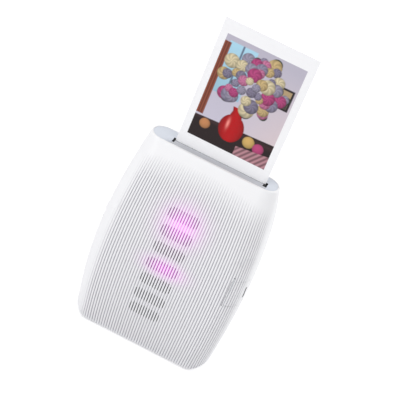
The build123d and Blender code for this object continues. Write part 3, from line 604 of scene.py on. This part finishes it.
def paint_ribs(made, ribs):
    """Writes how deep each outer point lies in a groove or slot, and how lit it is, for the material's painted shade
    and glow.
    """
    x, y, z = np.array([v.co for v in made.data.vertices]).T / MM
    *_, past = edge_frame(x, y, z)
    values = rib_values(x, y, z, ribs)
    share = np.abs(2 * (values["rib"] % 1) - 1)
    outer = past > -SKIN
    set_values(made.data, "groove", share**ribs.roundness * values["reach"] * outer)
    set_values(made.data, "slot", share**SLOT_SHARPNESS * values["slot"] * outer)
    set_values(made.data, "lit", values["lit"] * outer)


def rib_tree():
    """Geometry nodes that sink grooves between the ribs, and light slots in the grooves."""
    tree, given = new_tree("moulded_ribs", Rib_Depth="Float", Roundness="Float", Slot_Depth="Float")
    known = {
        name: add_node(tree, "GeometryNodeInputNamedAttribute", {"Name": name}, data_type="FLOAT")
        for name in BLANK_VALUES
    }
    known |= {socket.name: socket for socket in given}
    for result, operation, *inputs in (
        # 0 on a crest and 1 in the middle of a groove
        ("share", "FRACT", "rib"),
        ("share", "MULTIPLY_ADD", "share", 2.0, -1.0),
        ("share", "ABSOLUTE", "share"),
        ("groove", "POWER", "share", "Roundness"),
        ("groove", "MULTIPLY", "groove", "reach"),
        ("narrow", "POWER", "share", SLOT_SHARPNESS),
        ("slot", "MULTIPLY", "narrow", "slot"),
        # how far a point sinks
        ("sink", "MULTIPLY", "groove", "Rib Depth"),
        ("sink", "MULTIPLY_ADD", "slot", "Slot Depth", "sink"),
        ("inwards", "MULTIPLY", "sink", -1.0),
    ):
        sources = {n: known.get(value, value) for n, value in enumerate(inputs)}
        known[result] = add_node(tree, "ShaderNodeMath", sources, operation=operation)
    normal = add_node(tree, "GeometryNodeInputNormal")
    offset = add_node(tree, "ShaderNodeVectorMath", {0: normal, "Scale": known["inwards"]}, operation="SCALE")
    geometry = add_node(tree, "GeometryNodeSetPosition", {"Geometry": given["Geometry"], "Offset": offset})
    end_tree(tree, geometry, given["Material"])
    return tree


def push_out(made, by_mm=0.3):
    """Moves a CAD copy's outer surface outwards, so that a trim by the blank leaves the blank's."""
    mesh = made.data
    co = np.zeros(len(mesh.vertices) * 3, np.float32)
    mesh.vertices.foreach_get("co", co)
    p = co.reshape(-1, 3).astype(float) / MM
    x, y, z = np.abs(p[:, 0]), p[:, 1], p[:, 2]
    _, _, right, front, past = edge_frame(x, y, z)
    both, rounded = np.hypot(np.maximum(right, 1e-9), np.maximum(front, 1e-9)), (right > 0) & (front > 0)
    outward_x = np.where(rounded, right / both, right > front)
    outward_y = np.where(rounded, front / both, right <= front)
    on_outline = (np.abs(past) < ON_SURFACE) & (y < PARTING + 0.01)
    # the lower corners, round their own centre
    centre = float(half_width(BASE_RADIUS)) - BASE_RADIUS
    corner = np.hypot(x - centre, z - BASE_RADIUS)
    on_corner = (z < BASE_RADIUS) & (x > centre + 0.05) & (np.abs(corner - BASE_RADIUS) < ON_SURFACE)
    p[:, 0] += by_mm * np.sign(p[:, 0]) * (outward_x * on_outline + (x - centre) / BASE_RADIUS * on_corner)
    p[:, 1] -= by_mm * outward_y * on_outline
    p[:, 2] += by_mm * (z - BASE_RADIUS) / BASE_RADIUS * on_corner
    mesh.vertices.foreach_set("co", (p * MM).astype(np.float32).reshape(-1))
    mesh.update()


def make_ribbed_abs(colours):
    """White ABS with ribs: painted shade makes its grooves greyer than the crests, and the lamps' light through it is
    a painted glow in its colour and emission.
    """
    material, tree, shader, place = new_material("abs_ribbed_casing")
    groove, slot, lit = (
        add_node(tree, "ShaderNodeAttribute", attribute_name=name).outputs["Fac"]
        for name in ("groove", "slot", "lit")
    )
    crest_tone, groove_tone, slot_tone = (
        add_node(tree, "ShaderNodeMix", {"Factor": lit, "A": linear(dull), "B": linear(glowing)}, data_type="RGBA")
        for dull, glowing in (
            (colours.casing, colours.glow_crest), (colours.groove, colours.glow_groove),
            (colours.slot, colours.glow_slot),
        )
    )
    # painted shade: the grooves take the darker groove colour, as far as the groove attribute goes
    tone = add_node(tree, "ShaderNodeMix", {"Factor": groove, "A": crest_tone, "B": groove_tone}, data_type="RGBA")
    # painted shade: the slots are painted dark grey
    open_slot = add_node(tree, "ShaderNodeMapRange", {"Value": slot, "From Min": 0.15, "From Max": 0.5})
    tone = add_node(tree, "ShaderNodeMix", {"Factor": open_slot, "A": tone, "B": slot_tone}, data_type="RGBA")
    # 0.35 mm grain of the spark-eroded mould, as on the plain casing
    grain = add_node(tree, "ShaderNodeTexNoise", {"Vector": place, "Scale": 1 / (0.35 * MM), "Detail": 2.0})
    connect(tree, shader, {
        "Base Color": tone,
        "Normal": add_node(tree, "ShaderNodeBump", {"Height": grain, "Distance": 0.003 * MM}),
        # painted glow: the lit places give off light, though the casing is no lamp
        "Emission Strength": add_node(tree, "ShaderNodeMath", {0: lit, 1: 0.16}, operation="MULTIPLY"),
        "Emission Color": linear(colours.glow), "Roughness": 0.38, "IOR": 1.53,
    })
    return material


# lowest and highest corner of the port cover's slot, a little larger than the slot; its faces take the painted shade
PORT_SLOT = ((38.0, -8.62, 59.48), (46.0, -6.98, 66.52))


def paint_box(made, box, index):
    """Gives a box's faces another material, but not those of the outer surface that it meets."""
    low, high = (np.array(corner) * MM for corner in box)
    for polygon in made.data.polygons:
        corners = np.array([made.data.vertices[v].co for v in polygon.vertices])
        if (corners > low).all() and (corners < high).all():
            polygon.material_index = index


# ---- print
def lay(canvas, cover, hex_value, shade=1.0):
    """Paints a colour on the canvas as far as cover goes, from 0 to 1."""
    tone = np.array(linear(hex_value)[:3]) * np.asarray(shade)[..., None]
    canvas += cover[..., None] * (tone - canvas)


def inside(distance):
    """1 inside a shape and 0 outside, from the distance to its edge in millimetres."""
    return np.clip(0.5 - distance / 0.35, 0, 1)


def ball(sheet, place, hex_value, petals=0):
    """Paints a round thing, lit from the upper left, with petals if it is a bloom."""
    canvas, across, up = sheet
    x, y, radius = place
    dx, dy = (across - x) / radius, (up - y) / radius
    far = np.hypot(dx, dy)
    shade = 0.45 + 0.5 * np.sqrt(np.clip(1 - far**2, 0, 1)) + 0.14 * dy - 0.12 * dx
    if petals:
        shade *= 0.84 + 0.16 * np.cos(petals * np.arctan2(dy, dx) + 7 * far)
    lay(canvas, inside((far - 1) * radius), hex_value, np.clip(shade, 0.1, 1.2))


def panel(sheet, box, hex_value, shade=1.0):
    """Paints a box given by its middle and half sizes."""
    canvas, across, up = sheet
    x, y, half_across, half_up = box
    lay(canvas, inside(np.maximum(np.abs(across - x) - half_across, np.abs(up - y) - half_up)), hex_value, shade)


def paint_picture(across, up, seed):
    """A still life: blooms in a red vase, by a window. Points are in millimetres from the lower middle."""
    canvas = np.zeros((*across.shape, 3))
    sheet = canvas, across, up
    lay(canvas, np.ones_like(across), "CBC6D6", 1.05 - 0.003 * up)
    lay(canvas, np.clip((across + 8) / 30, 0, 1) * np.clip(1.3 - up / 45, 0, 1), "DCCBCF")
    # window
    panel(sheet, (-12, 44, 8, 15), "A8D2E6", 1.1 - 0.008 * (60 - up))
    panel(sheet, (-12, 44, 0.5, 15), "66738A")
    panel(sheet, (-12, 43, 8, 0.5), "66738A")
    # curtain
    panel(sheet, (-21.4, 36, 2.4, 22), "8E4A36", 0.8 + 0.25 * np.cos(across * 4.2))
    # framed landscape
    panel(sheet, (17, 42, 4.6, 6.2), "241D21")
    panel(sheet, (17, 42, 3.4, 5.0), "B59C78")
    panel(sheet, (17, 39, 3.4, 2.0), "3F3E3A")
    # table, with a sheen along its far edge
    lay(canvas, inside(up - 14 - 0.05 * across), "211314", 1 + 1.6 * np.exp(-((up - 12.6) / 1.2) ** 2))
    # vase and its shine
    belly = 7.0 * np.sqrt(np.clip(1 - ((up - 13.6) / 8.2) ** 2, 0, 1))
    body = np.where(up > 20.5, 2.7 + 0.25 * np.abs(up - 23.5), belly)
    roundness = 1 - ((across + 2) / np.maximum(body, 0.1)) ** 2
    vase = inside(np.abs(across + 2) - body) * inside(up - 26) * inside(5.6 - up)
    lay(canvas, vase, "B5060F", 0.3 + 0.75 * np.sqrt(np.clip(roundness, 0, 1)))
    lay(canvas, vase * np.exp(-((across + 4.6) / 0.8) ** 2 - ((up - 15.5) / 2.8) ** 2), "FF9A90")
    # leaves, then blooms from the outside in
    draw = random.Random(seed)
    blooms, spots = 46, []
    for n in range(blooms):
        turn, far = 2.4 * n + draw.uniform(-0.3, 0.3), math.sqrt((n + 0.5) / blooms)
        spots.append((far, 18.5 * far * math.cos(turn), 41 + 16 * far * math.sin(turn), draw.uniform(2.0, 4.4)))
    spots.sort(reverse=True)
    for far, x, y, radius in spots[::3]:
        ball(sheet, (x * 1.08, 41 + (y - 41) * 1.1, radius * 0.8), "3E4C3C", 3)
    tones = ("D8BC86", "8C849C", "EADBB4", "A59EB4", "C24C86", "9A92AC", "D77FA8")
    for n, (far, x, y, radius) in enumerate(spots):
        ball(sheet, (x, y, radius), tones[n % len(tones)], 5 + n % 3)
    # fruit on the table
    for place, tone in (((9.5, 10.5, 3.4), "D9B36A"), ((15.6, 9.2, 3.2), "C0487C"), ((-16, 9.6, 3.0), "C98A5A")):
        ball(sheet, place, tone)
    # folded cloth over the table's edge
    fold = np.maximum(up - 5.5 - 0.12 * (across - 4), 4 - across)
    lay(canvas, inside(fold), "C9929C", 0.62 + 0.3 * np.cos((across - 0.8 * up) * 2.1))
    return canvas


def make_print(settings, colours):
    """The sheet: a glossy front with a white border round a sunk picture, and a black back."""
    (low, high), = islands("print_sheet")
    (x0, y0, z0), (x1, y1, z1) = low / MM, high / MM
    middle = (x0 + x1) / 2
    half, tall, top = settings.picture_width / MM / 2, settings.picture_height / MM, z1 - settings.upper_border / MM
    step = settings.grid / MM
    xs = np.concatenate([[x0], np.linspace(middle - half, middle + half, round(2 * half / step) + 1), [x1]])
    zs = np.concatenate([[z0], np.linspace(top - tall, top, round(tall / step) + 1), [z1]])
    x, z = np.meshgrid(xs, zs)
    sunk = (np.abs(x - middle) < half - 1e-3) & (z > top - tall + 1e-3) & (z < top - 1e-3)
    y = y0 + sunk * settings.recess / MM
    front = np.stack([x, y, z], axis=-1).reshape(-1, 3)
    back = np.array([(x0, y1, z0), (x1, y1, z0), (x1, y1, z1), (x0, y1, z1)])
    index = np.arange(x.size).reshape(x.shape)
    a, b, c, d = (x.size + n for n in range(4))
    faces = np.stack([index[:-1, :-1], index[:-1, 1:], index[1:, 1:], index[1:, :-1]], axis=-1)
    faces = faces.reshape(-1, 4).tolist() + [
        [*index[0][::-1], a, b], [*index[-1], c, d], [*index[:, 0], d, a], [*index[:, -1][::-1], b, c], [a, d, c, b],
    ]
    made = mesh_object("print_sheet_pictured", np.concatenate([front, back]) * MM, faces)
    tones = np.broadcast_to(linear(colours.film), (x.size + 4, 4)).copy()
    picture = paint_picture(x - middle, z - (top - tall), settings.seed)
    tones[: x.size, :3] = np.where(sunk[..., None], picture, tones[0, :3]).reshape(-1, 3)
    set_values(made.data, "picture", tones, "FLOAT_COLOR")

    # coated polyester: white, its gloss softened by a coat against glare, with the picture's dyes under it
    material, tree, shader, _ = new_material("polyester_film_front")
    dyes = add_node(tree, "ShaderNodeAttribute", attribute_name="picture")
    connect(tree, shader, {"Base Color": dyes, "Roughness": 0.2, "IOR": 1.57, "Specular IOR Level": 0.2})
    made.data.materials.append(material)
    # the sheet's back: carbon black polyester, half matt
    made.data.materials.append(surface("polyester_film_back", "1A1A1C", 0.45, 0.5, 0.004, 0.05, 1.57))
    made.data.polygons[len(made.data.polygons) - 1].material_index = 1
    return made


# ---- film exit
PAST_LIP = 0.4  # the wedge goes on this far behind the lip
LIP_EDGE = 0.02  # faces of the cap less deep than this are not the lip's
NEAR_SLOT = 3.0  # the cap's points this near the film are the slot's
PLATE_LEVEL = 1.75  # the cap's plate begins this far above its skirt's end


def prism(name, section, x0, x1):
    """A closed solid along X. Its four corners in Y and Z go round from the lower front."""
    vertices = [(x, y, z) for x in (x0, x1) for y, z in section]
    sides = [(n, (n + 1) % 4, (n + 1) % 4 + 4, n + 4) for n in range(4)]
    return mesh_object(name, vertices, [(3, 2, 1, 0), (4, 5, 6, 7), *sides])


def block(name, low, high):
    """A closed block between two corners."""
    (x0, y0, z0), (x1, y1, z1) = low, high
    return prism(name, ((y0, z0), (y1, z0), (y1, z1), (y0, z1)), x0, x1)


def lip_wedge(slot, settings, film_face):
    """A wedge that cuts a sloping lip in front of the print."""
    (x0, _, _), (x1, _, top) = slot
    back = film_face - settings.lip_gap
    front, beyond = back - settings.lip_length, back + PAST_LIP * MM
    low = top - settings.lip_depth / settings.lip_length * (beyond - front)
    return prism("lip_wedge", ((front, top), (beyond, low), (beyond, top + MM), (front, top + MM)), x0, x1)


# ---- screws
# node, way its heads face, head height and shank radius in millimetres
SCREWS = (("case_screws", 1, 1.3, 1.0), ("frame_screws", 1, 0.9, 1.0), ("board_screws", -1, 0.9, 0.8))
SHANK_INSET = 0.1  # the shank starts this far under the head's face, and ends with the solid


def screw_tree():
    """Geometry nodes that put a cross-recessed screw on each point, its head's face there."""
    tree, given = new_tree(
        "cross_recessed_screws", Head_Radius="Float", Head_Height="Float", Shank_Radius="Float", Length="Float",
        Recess_Width="Float", Recess_Reach="Float", Recess_Depth="Float", Turn="Rotation",
    )
    solids = []
    for sides, radius, height, top in (
        (40, given["Head Radius"], given["Head Height"], 0.0),
        (24, given["Shank Radius"], given["Length"], -SHANK_INSET * MM),
    ):
        solid = add_node(tree, "GeometryNodeMeshCylinder", {"Vertices": sides, "Radius": radius, "Depth": height})
        drop = add_node(tree, "ShaderNodeMath", {0: height, 1: -0.5, 2: top}, operation="MULTIPLY_ADD")
        place = add_node(tree, "ShaderNodeCombineXYZ", {"Z": drop})
        solids.append(add_node(tree, "GeometryNodeTransform", {"Geometry": solid, "Translation": place}))
    blank = add_node(tree, "GeometryNodeMeshBoolean", {1: solids}, operation="UNION", solver="MANIFOLD")
    deep = add_node(tree, "ShaderNodeMath", {0: given["Recess Depth"], 1: 2.0}, operation="MULTIPLY")
    wide, long = given["Recess Width"], given["Recess Reach"]
    arms = []
    for x, y in ((wide, long), (long, wide)):
        size = add_node(tree, "ShaderNodeCombineXYZ", {"X": x, "Y": y, "Z": deep})
        arms.append(add_node(tree, "GeometryNodeMeshCube", {"Size": size}))
    screw = add_node(
        tree, "GeometryNodeMeshBoolean", {"Mesh 1": blank, "Mesh 2": arms}, operation="DIFFERENCE", solver="MANIFOLD"
    )
    inputs = {"Points": given["Geometry"], "Instance": screw, "Rotation": given["Turn"]}
    placed = add_node(tree, "GeometryNodeInstanceOnPoints", inputs)
    end_tree(tree, placed, given["Material"])
    return tree


def make_screws(tree, settings, material, node, way, head_height, shank_radius):
    """All screws of a CAD node, from the boxes of its solids."""
    boxes = islands(node)
    low, high = boxes[0]
    face = 1 if way > 0 else 0
    heads = [((a[0] + b[0]) / 2, (a, b)[face][1], (a[2] + b[2]) / 2) for a, b in boxes]
    points = mesh_object(node + "_points", heads)
    radius = float(high[0] - low[0]) / 2
    return run_tree(
        points, tree, node + "_cross", Head_Radius=radius, Head_Height=head_height * MM, Material=material,
        Shank_Radius=shank_radius * MM, Length=float(high[1] - low[1]) - SHANK_INSET * MM,
        Recess_Width=settings.recess_width, Recess_Reach=2 * radius * settings.recess_reach,
        Recess_Depth=settings.recess_depth, Turn=(-way * math.pi / 2, 0.0, 0.0),
    )


# ---- stage
def make_floor(stage):
    """A pale floor that looks white to the camera and keeps the printer's shadow."""
    half = 3.0
    corners = [(-half, -half, 0), (half, -half, 0), (half, half, 0), (-half, half, 0)]
    floor = mesh_object("floor", corners, [(0, 1, 2, 3)])
    # matt wall paint: no highlight
    material, tree, shader, _ = new_material("matt_paint_floor")
    rays = add_node(tree, "ShaderNodeLightPath").outputs
    seen = rays["Is Camera Ray"]
    for ray in ("Is Glossy Ray", "Is Transmission Ray"):
        seen = add_node(tree, "ShaderNodeMath", {0: seen, 1: rays[ray]}, operation="MAXIMUM")
    lift = add_node(tree, "ShaderNodeMath", {0: seen, 1: stage.floor_lift}, operation="MULTIPLY")
    connect(tree, shader, {
        "Base Color": linear(stage.floor), "Roughness": 0.9,
        "Emission Color": (1, 1, 1, 1), "Emission Strength": lift,
    })
    floor.data.materials.append(material)


# name, place, size and power of each lamp, in metres and watts
LAMPS = (
    ("softbox_left", (-0.7, -1.4, 0.55), 1.0, 7.2),
    ("softbox_right", (1.3, 0.95, 0.5), 0.8, 5.0),
    ("softbox_top", (0.0, 0.3, 1.7), 1.0, 5.4),
)


def make_light(stage):
    """Softboxes at the front left, behind on the right and above, in an even white room."""
    target = Vector((0, 0, 0.08))  # a little above the printer's middle
    for name, place, size, power in LAMPS:
        lamp = bpy.data.lights.new(name, "AREA")
        lamp.size, lamp.energy = size, power * stage.lamp_power
        made = show(name, lamp)
        made.location = place
        made.rotation_euler = (target - Vector(place)).to_track_quat("-Z", "Y").to_euler()
    world = bpy.data.worlds.new("studio")
    bpy.context.scene.world = world
    world.use_nodes = True
    connect(world.node_tree, world.node_tree.nodes["Background"], {"Color": (1, 1, 1, 1), "Strength": stage.room})


def make_camera(stage):
    """The camera at the photograph's place, turned so that the printer's middle is at its pixel."""
    a, e = stage.azimuth, stage.elevation
    middle = Vector((0, 0, stage.middle_level))
    back = Vector((math.sin(a) * math.cos(e), -math.cos(a) * math.cos(e), math.sin(e)))
    level_right = Vector((math.cos(a), math.sin(a), 0))
    level_up = back.cross(level_right)
    right = math.cos(stage.roll) * level_right + math.sin(stage.roll) * level_up
    up = -math.sin(stage.roll) * level_right + math.cos(stage.roll) * level_up
    place = middle + back * stage.distance
    picture = 400  # pixels across
    per_pixel = stage.distance / stage.focal
    centre = middle + right * (picture / 2 - stage.middle_x) * per_pixel
    centre += up * (stage.middle_y - picture / 2) * per_pixel
    forward = (centre - place).normalized()
    right = forward.cross(up).normalized()
    up = right.cross(forward)
    lens = bpy.data.cameras.new("camera")
    lens.sensor_width = 36.0
    lens.lens = stage.focal * lens.sensor_width / picture
    lens.clip_end = 20
    made = show("camera", lens)
    made.matrix_world = Matrix.Translation(place) @ Matrix((right, up, -forward)).transposed().to_4x4()
    bpy.context.scene.camera = made


# ---- operators
def material_of(slot):
    """The finish of a record slot, from a CAD node that has it."""
    node = next(part["node"] for part in frame["record"]["subparts"] if part["material_slot"] == slot)
    return frame["nodes"][node].data.materials[0]


def slot_box():
    """Lowest and highest corner of the exit slot in the cap, from the cap's inner edges."""
    (low, high), = islands("top_cap")
    points = np.array([v.co for v in frame["nodes"]["top_cap"].data.vertices])
    face = points[np.abs(points[:, 2] - high[2]) < DOUBLE]
    film_low, film_high = islands("print_sheet")[0]
    near = NEAR_SLOT * MM
    beside = (face[:, 0] > film_low[0] - near) & (face[:, 0] < film_high[0] + near)
    inner = face[beside & (np.abs(face[:, 1] - film_low[1]) < near), :2]
    return np.array([*inner.min(0), low[2] + PLATE_LEVEL * MM]), np.array([*inner.max(0), high[2]])


class PRINTER_OT_frame_finishes(bpy.types.Operator):
    """Give every CAD piece the material of the real one"""

    bl_idname = "printer.frame_finishes"
    bl_label = "Frame finishes"

    def execute(self, context):
        finishes = make_finishes(context.scene.printer_colours)
        for part in frame["record"]["subparts"]:
            materials = frame["nodes"][part["node"]].data.materials
            materials.clear()
            materials.append(finishes[part["material_slot"]])
        return {"FINISHED"}


class PRINTER_OT_ribbed_casing(bpy.types.Operator):
    """Make the front shell and the port cover with their moulded ribs"""

    bl_idname = "printer.ribbed_casing"
    bl_label = "Ribbed casing"

    def execute(self, context):
        ribs = context.scene.printer_ribs
        blank = run_tree(
            make_blank(ribs), rib_tree(), "ribbed_blank", Rib_Depth=ribs.depth, Roundness=ribs.roundness,
            Slot_Depth=ribs.slot_depth, Material=make_ribbed_abs(context.scene.printer_colours),
        )
        for node in ("front_shell", "port_cover"):
            keep = merged_copy(node)
            push_out(keep)
            made = cut(show(node + "_stock", blank.data.copy()), keep, "INTERSECT", node + "_ribbed")
            smooth_by_angle(made, 38)
            paint_ribs(made, ribs)
            if node == "port_cover":
                # painted shade: matt black faces in the cover's slot stand for the shade deep in its fingernail notch
                made.data.materials.append(surface("port_notch_painted_shade", "121213", 0.7, 0.4, 0.01, 0.05, 1.41))
                paint_box(made, PORT_SLOT, len(made.data.materials) - 1)
            finish(made, node)
        bpy.data.objects.remove(blank)
        return {"FINISHED"}


class PRINTER_OT_print(bpy.types.Operator):
    """Make the print with its border and picture"""

    bl_idname = "printer.print"
    bl_label = "Print"

    def execute(self, context):
        finish(make_print(context.scene.printer_print, context.scene.printer_colours), "print_sheet")
        return {"FINISHED"}


class PRINTER_OT_film_exit(bpy.types.Operator):
    """Cut the sloping lip in the end cap, and make the slot's liner and its ramp"""

    bl_idname = "printer.film_exit"
    bl_label = "Film exit"

    def execute(self, context):
        settings = context.scene.printer_cap
        slot = slot_box()
        (x0, y0, z0), (x1, y1, z1) = slot
        film_face = islands("print_sheet")[0][0][1]
        wall, back = settings.liner_wall, film_face - settings.lip_gap
        left, right = x0 + settings.left_guide, x1 - settings.right_guide
        ramp = block("slot_ramp_block", (left, y0 + wall, z0), (right, back, z1))
        hole = (x0 + wall, y0 + wall, z0 - MM), (x1 - wall, y1 - wall, z1 + MM)
        liner = cut(block("liner_block", *slot), block("liner_hole", *hole), "DIFFERENCE", "slot_liner_ring")
        cap = merged_copy("top_cap")
        for name, low, high in (("slot_end_shade_left", x0, left), ("slot_end_shade_right", right, x1)):
            # black pieces in the felt finish fill a notch in the cap at each end of the lip, and stop below its
            # surface: painted shade, standing for the dark open ends of the slot
            box = (low, back - settings.guide_length, z0), (high, back, z1 + MM)
            cap = cut(cap, block(name + "_notch", *box), "DIFFERENCE", "top_cap_notched")
            made = block(name, box[0], (high, back, z1 - settings.guide_drop))
            made.data.materials.append(material_of("felt_black"))
            finish(made, "top_cap", replaces=False)
        # the print's shadow on the lip, painted as a darker grey of the cap's plastic, on the lip and its ramp
        grey = surface("slot_lip_painted_shadow", context.scene.printer_colours.lip, 0.5, 0.3, 0.006, 0.015, 1.53)
        for made, name, base, material_slot in (
            (cap, "top_cap_lipped", material_of("cap_blue_grey"), "cap_blue_grey"),
            (ramp, "slot_ramp", grey, "cap_blue_grey"),
            (liner, "slot_liner", material_of("frame_black"), "frame_black"),
        ):
            made = cut(made, lip_wedge(slot, settings, film_face), "DIFFERENCE", name)
            made.data.materials.clear()
            made.data.materials.append(base)
            if name == "top_cap_lipped":
                made.data.materials.append(grey)
                # the lip's faces take the painted shadow
                for polygon in made.data.polygons:
                    if polygon.normal.z > 0.5 and z1 - settings.lip_depth < polygon.center.z < z1 - LIP_EDGE * MM:
                        polygon.material_index = 1
            smooth_by_angle(made, 15)
            finish(made, "top_cap", replaces=name == "top_cap_lipped")
        return {"FINISHED"}


class PRINTER_OT_screws(bpy.types.Operator):
    """Make the screws with their cross recess"""

    bl_idname = "printer.screws"
    bl_label = "Screws"

    def execute(self, context):
        tree = screw_tree()
        for node, *values in SCREWS:
            made = make_screws(tree, context.scene.printer_screws, material_of("steel"), node, *values)
            smooth_by_angle(made, 30)
            finish(made, node)
        return {"FINISHED"}


class PRINTER_OT_stage(bpy.types.Operator):
    """Set the floor, the studio light and the camera at the photograph's angle"""

    bl_idname = "printer.stage"
    bl_label = "Stage"

    def execute(self, context):
        stage = context.scene.printer_stage
        make_floor(stage)
        make_light(stage)
        make_camera(stage)
        context.scene.view_settings.view_transform = "Standard"
        return {"FINISHED"}


class PRINTER_PT_panel(bpy.types.Panel):
    """Lists the printer's settings and what makes its pieces"""

    bl_idname = "PRINTER_PT_panel"
    bl_label = "Compact photo printer"
    bl_space_type = "VIEW_3D"
    bl_region_type = "UI"
    bl_category = "Printer"

    def draw(self, context):
        for group in GROUPS:
            box = self.layout.box()
            settings = getattr(context.scene, group)
            for name in settings.__annotations__:
                box.prop(settings, name)
        for operator in OPERATORS:
            self.layout.operator(operator.bl_idname)


GROUPS = {
    "printer_" + group.__name__.split("_")[-1]: group
    for group in (
        PRINTER_PG_ribs, PRINTER_PG_print, PRINTER_PG_cap, PRINTER_PG_screws, PRINTER_PG_colours, PRINTER_PG_stage,
    )
}
OPERATORS = (
    PRINTER_OT_frame_finishes, PRINTER_OT_ribbed_casing, PRINTER_OT_print, PRINTER_OT_film_exit, PRINTER_OT_screws,
    PRINTER_OT_stage,
)


def register():
    for made in (*GROUPS.values(), *OPERATORS, PRINTER_PT_panel):
        bpy.utils.register_class(made)
    for name, group in GROUPS.items():
        setattr(bpy.types.Scene, name, PointerProperty(type=group))


def unregister():
    for name in GROUPS:
        delattr(bpy.types.Scene, name)
    for made in reversed((*GROUPS.values(), *OPERATORS, PRINTER_PT_panel)):
        bpy.utils.unregister_class(made)


def main():
    register()
    for operator in OPERATORS:
        group, name = operator.bl_idname.split(".")
        if getattr(getattr(bpy.ops, group), name)() != {"FINISHED"}:
            raise RuntimeError(f"{operator.bl_label} did not finish")


if __name__ == "__main__":
    main()
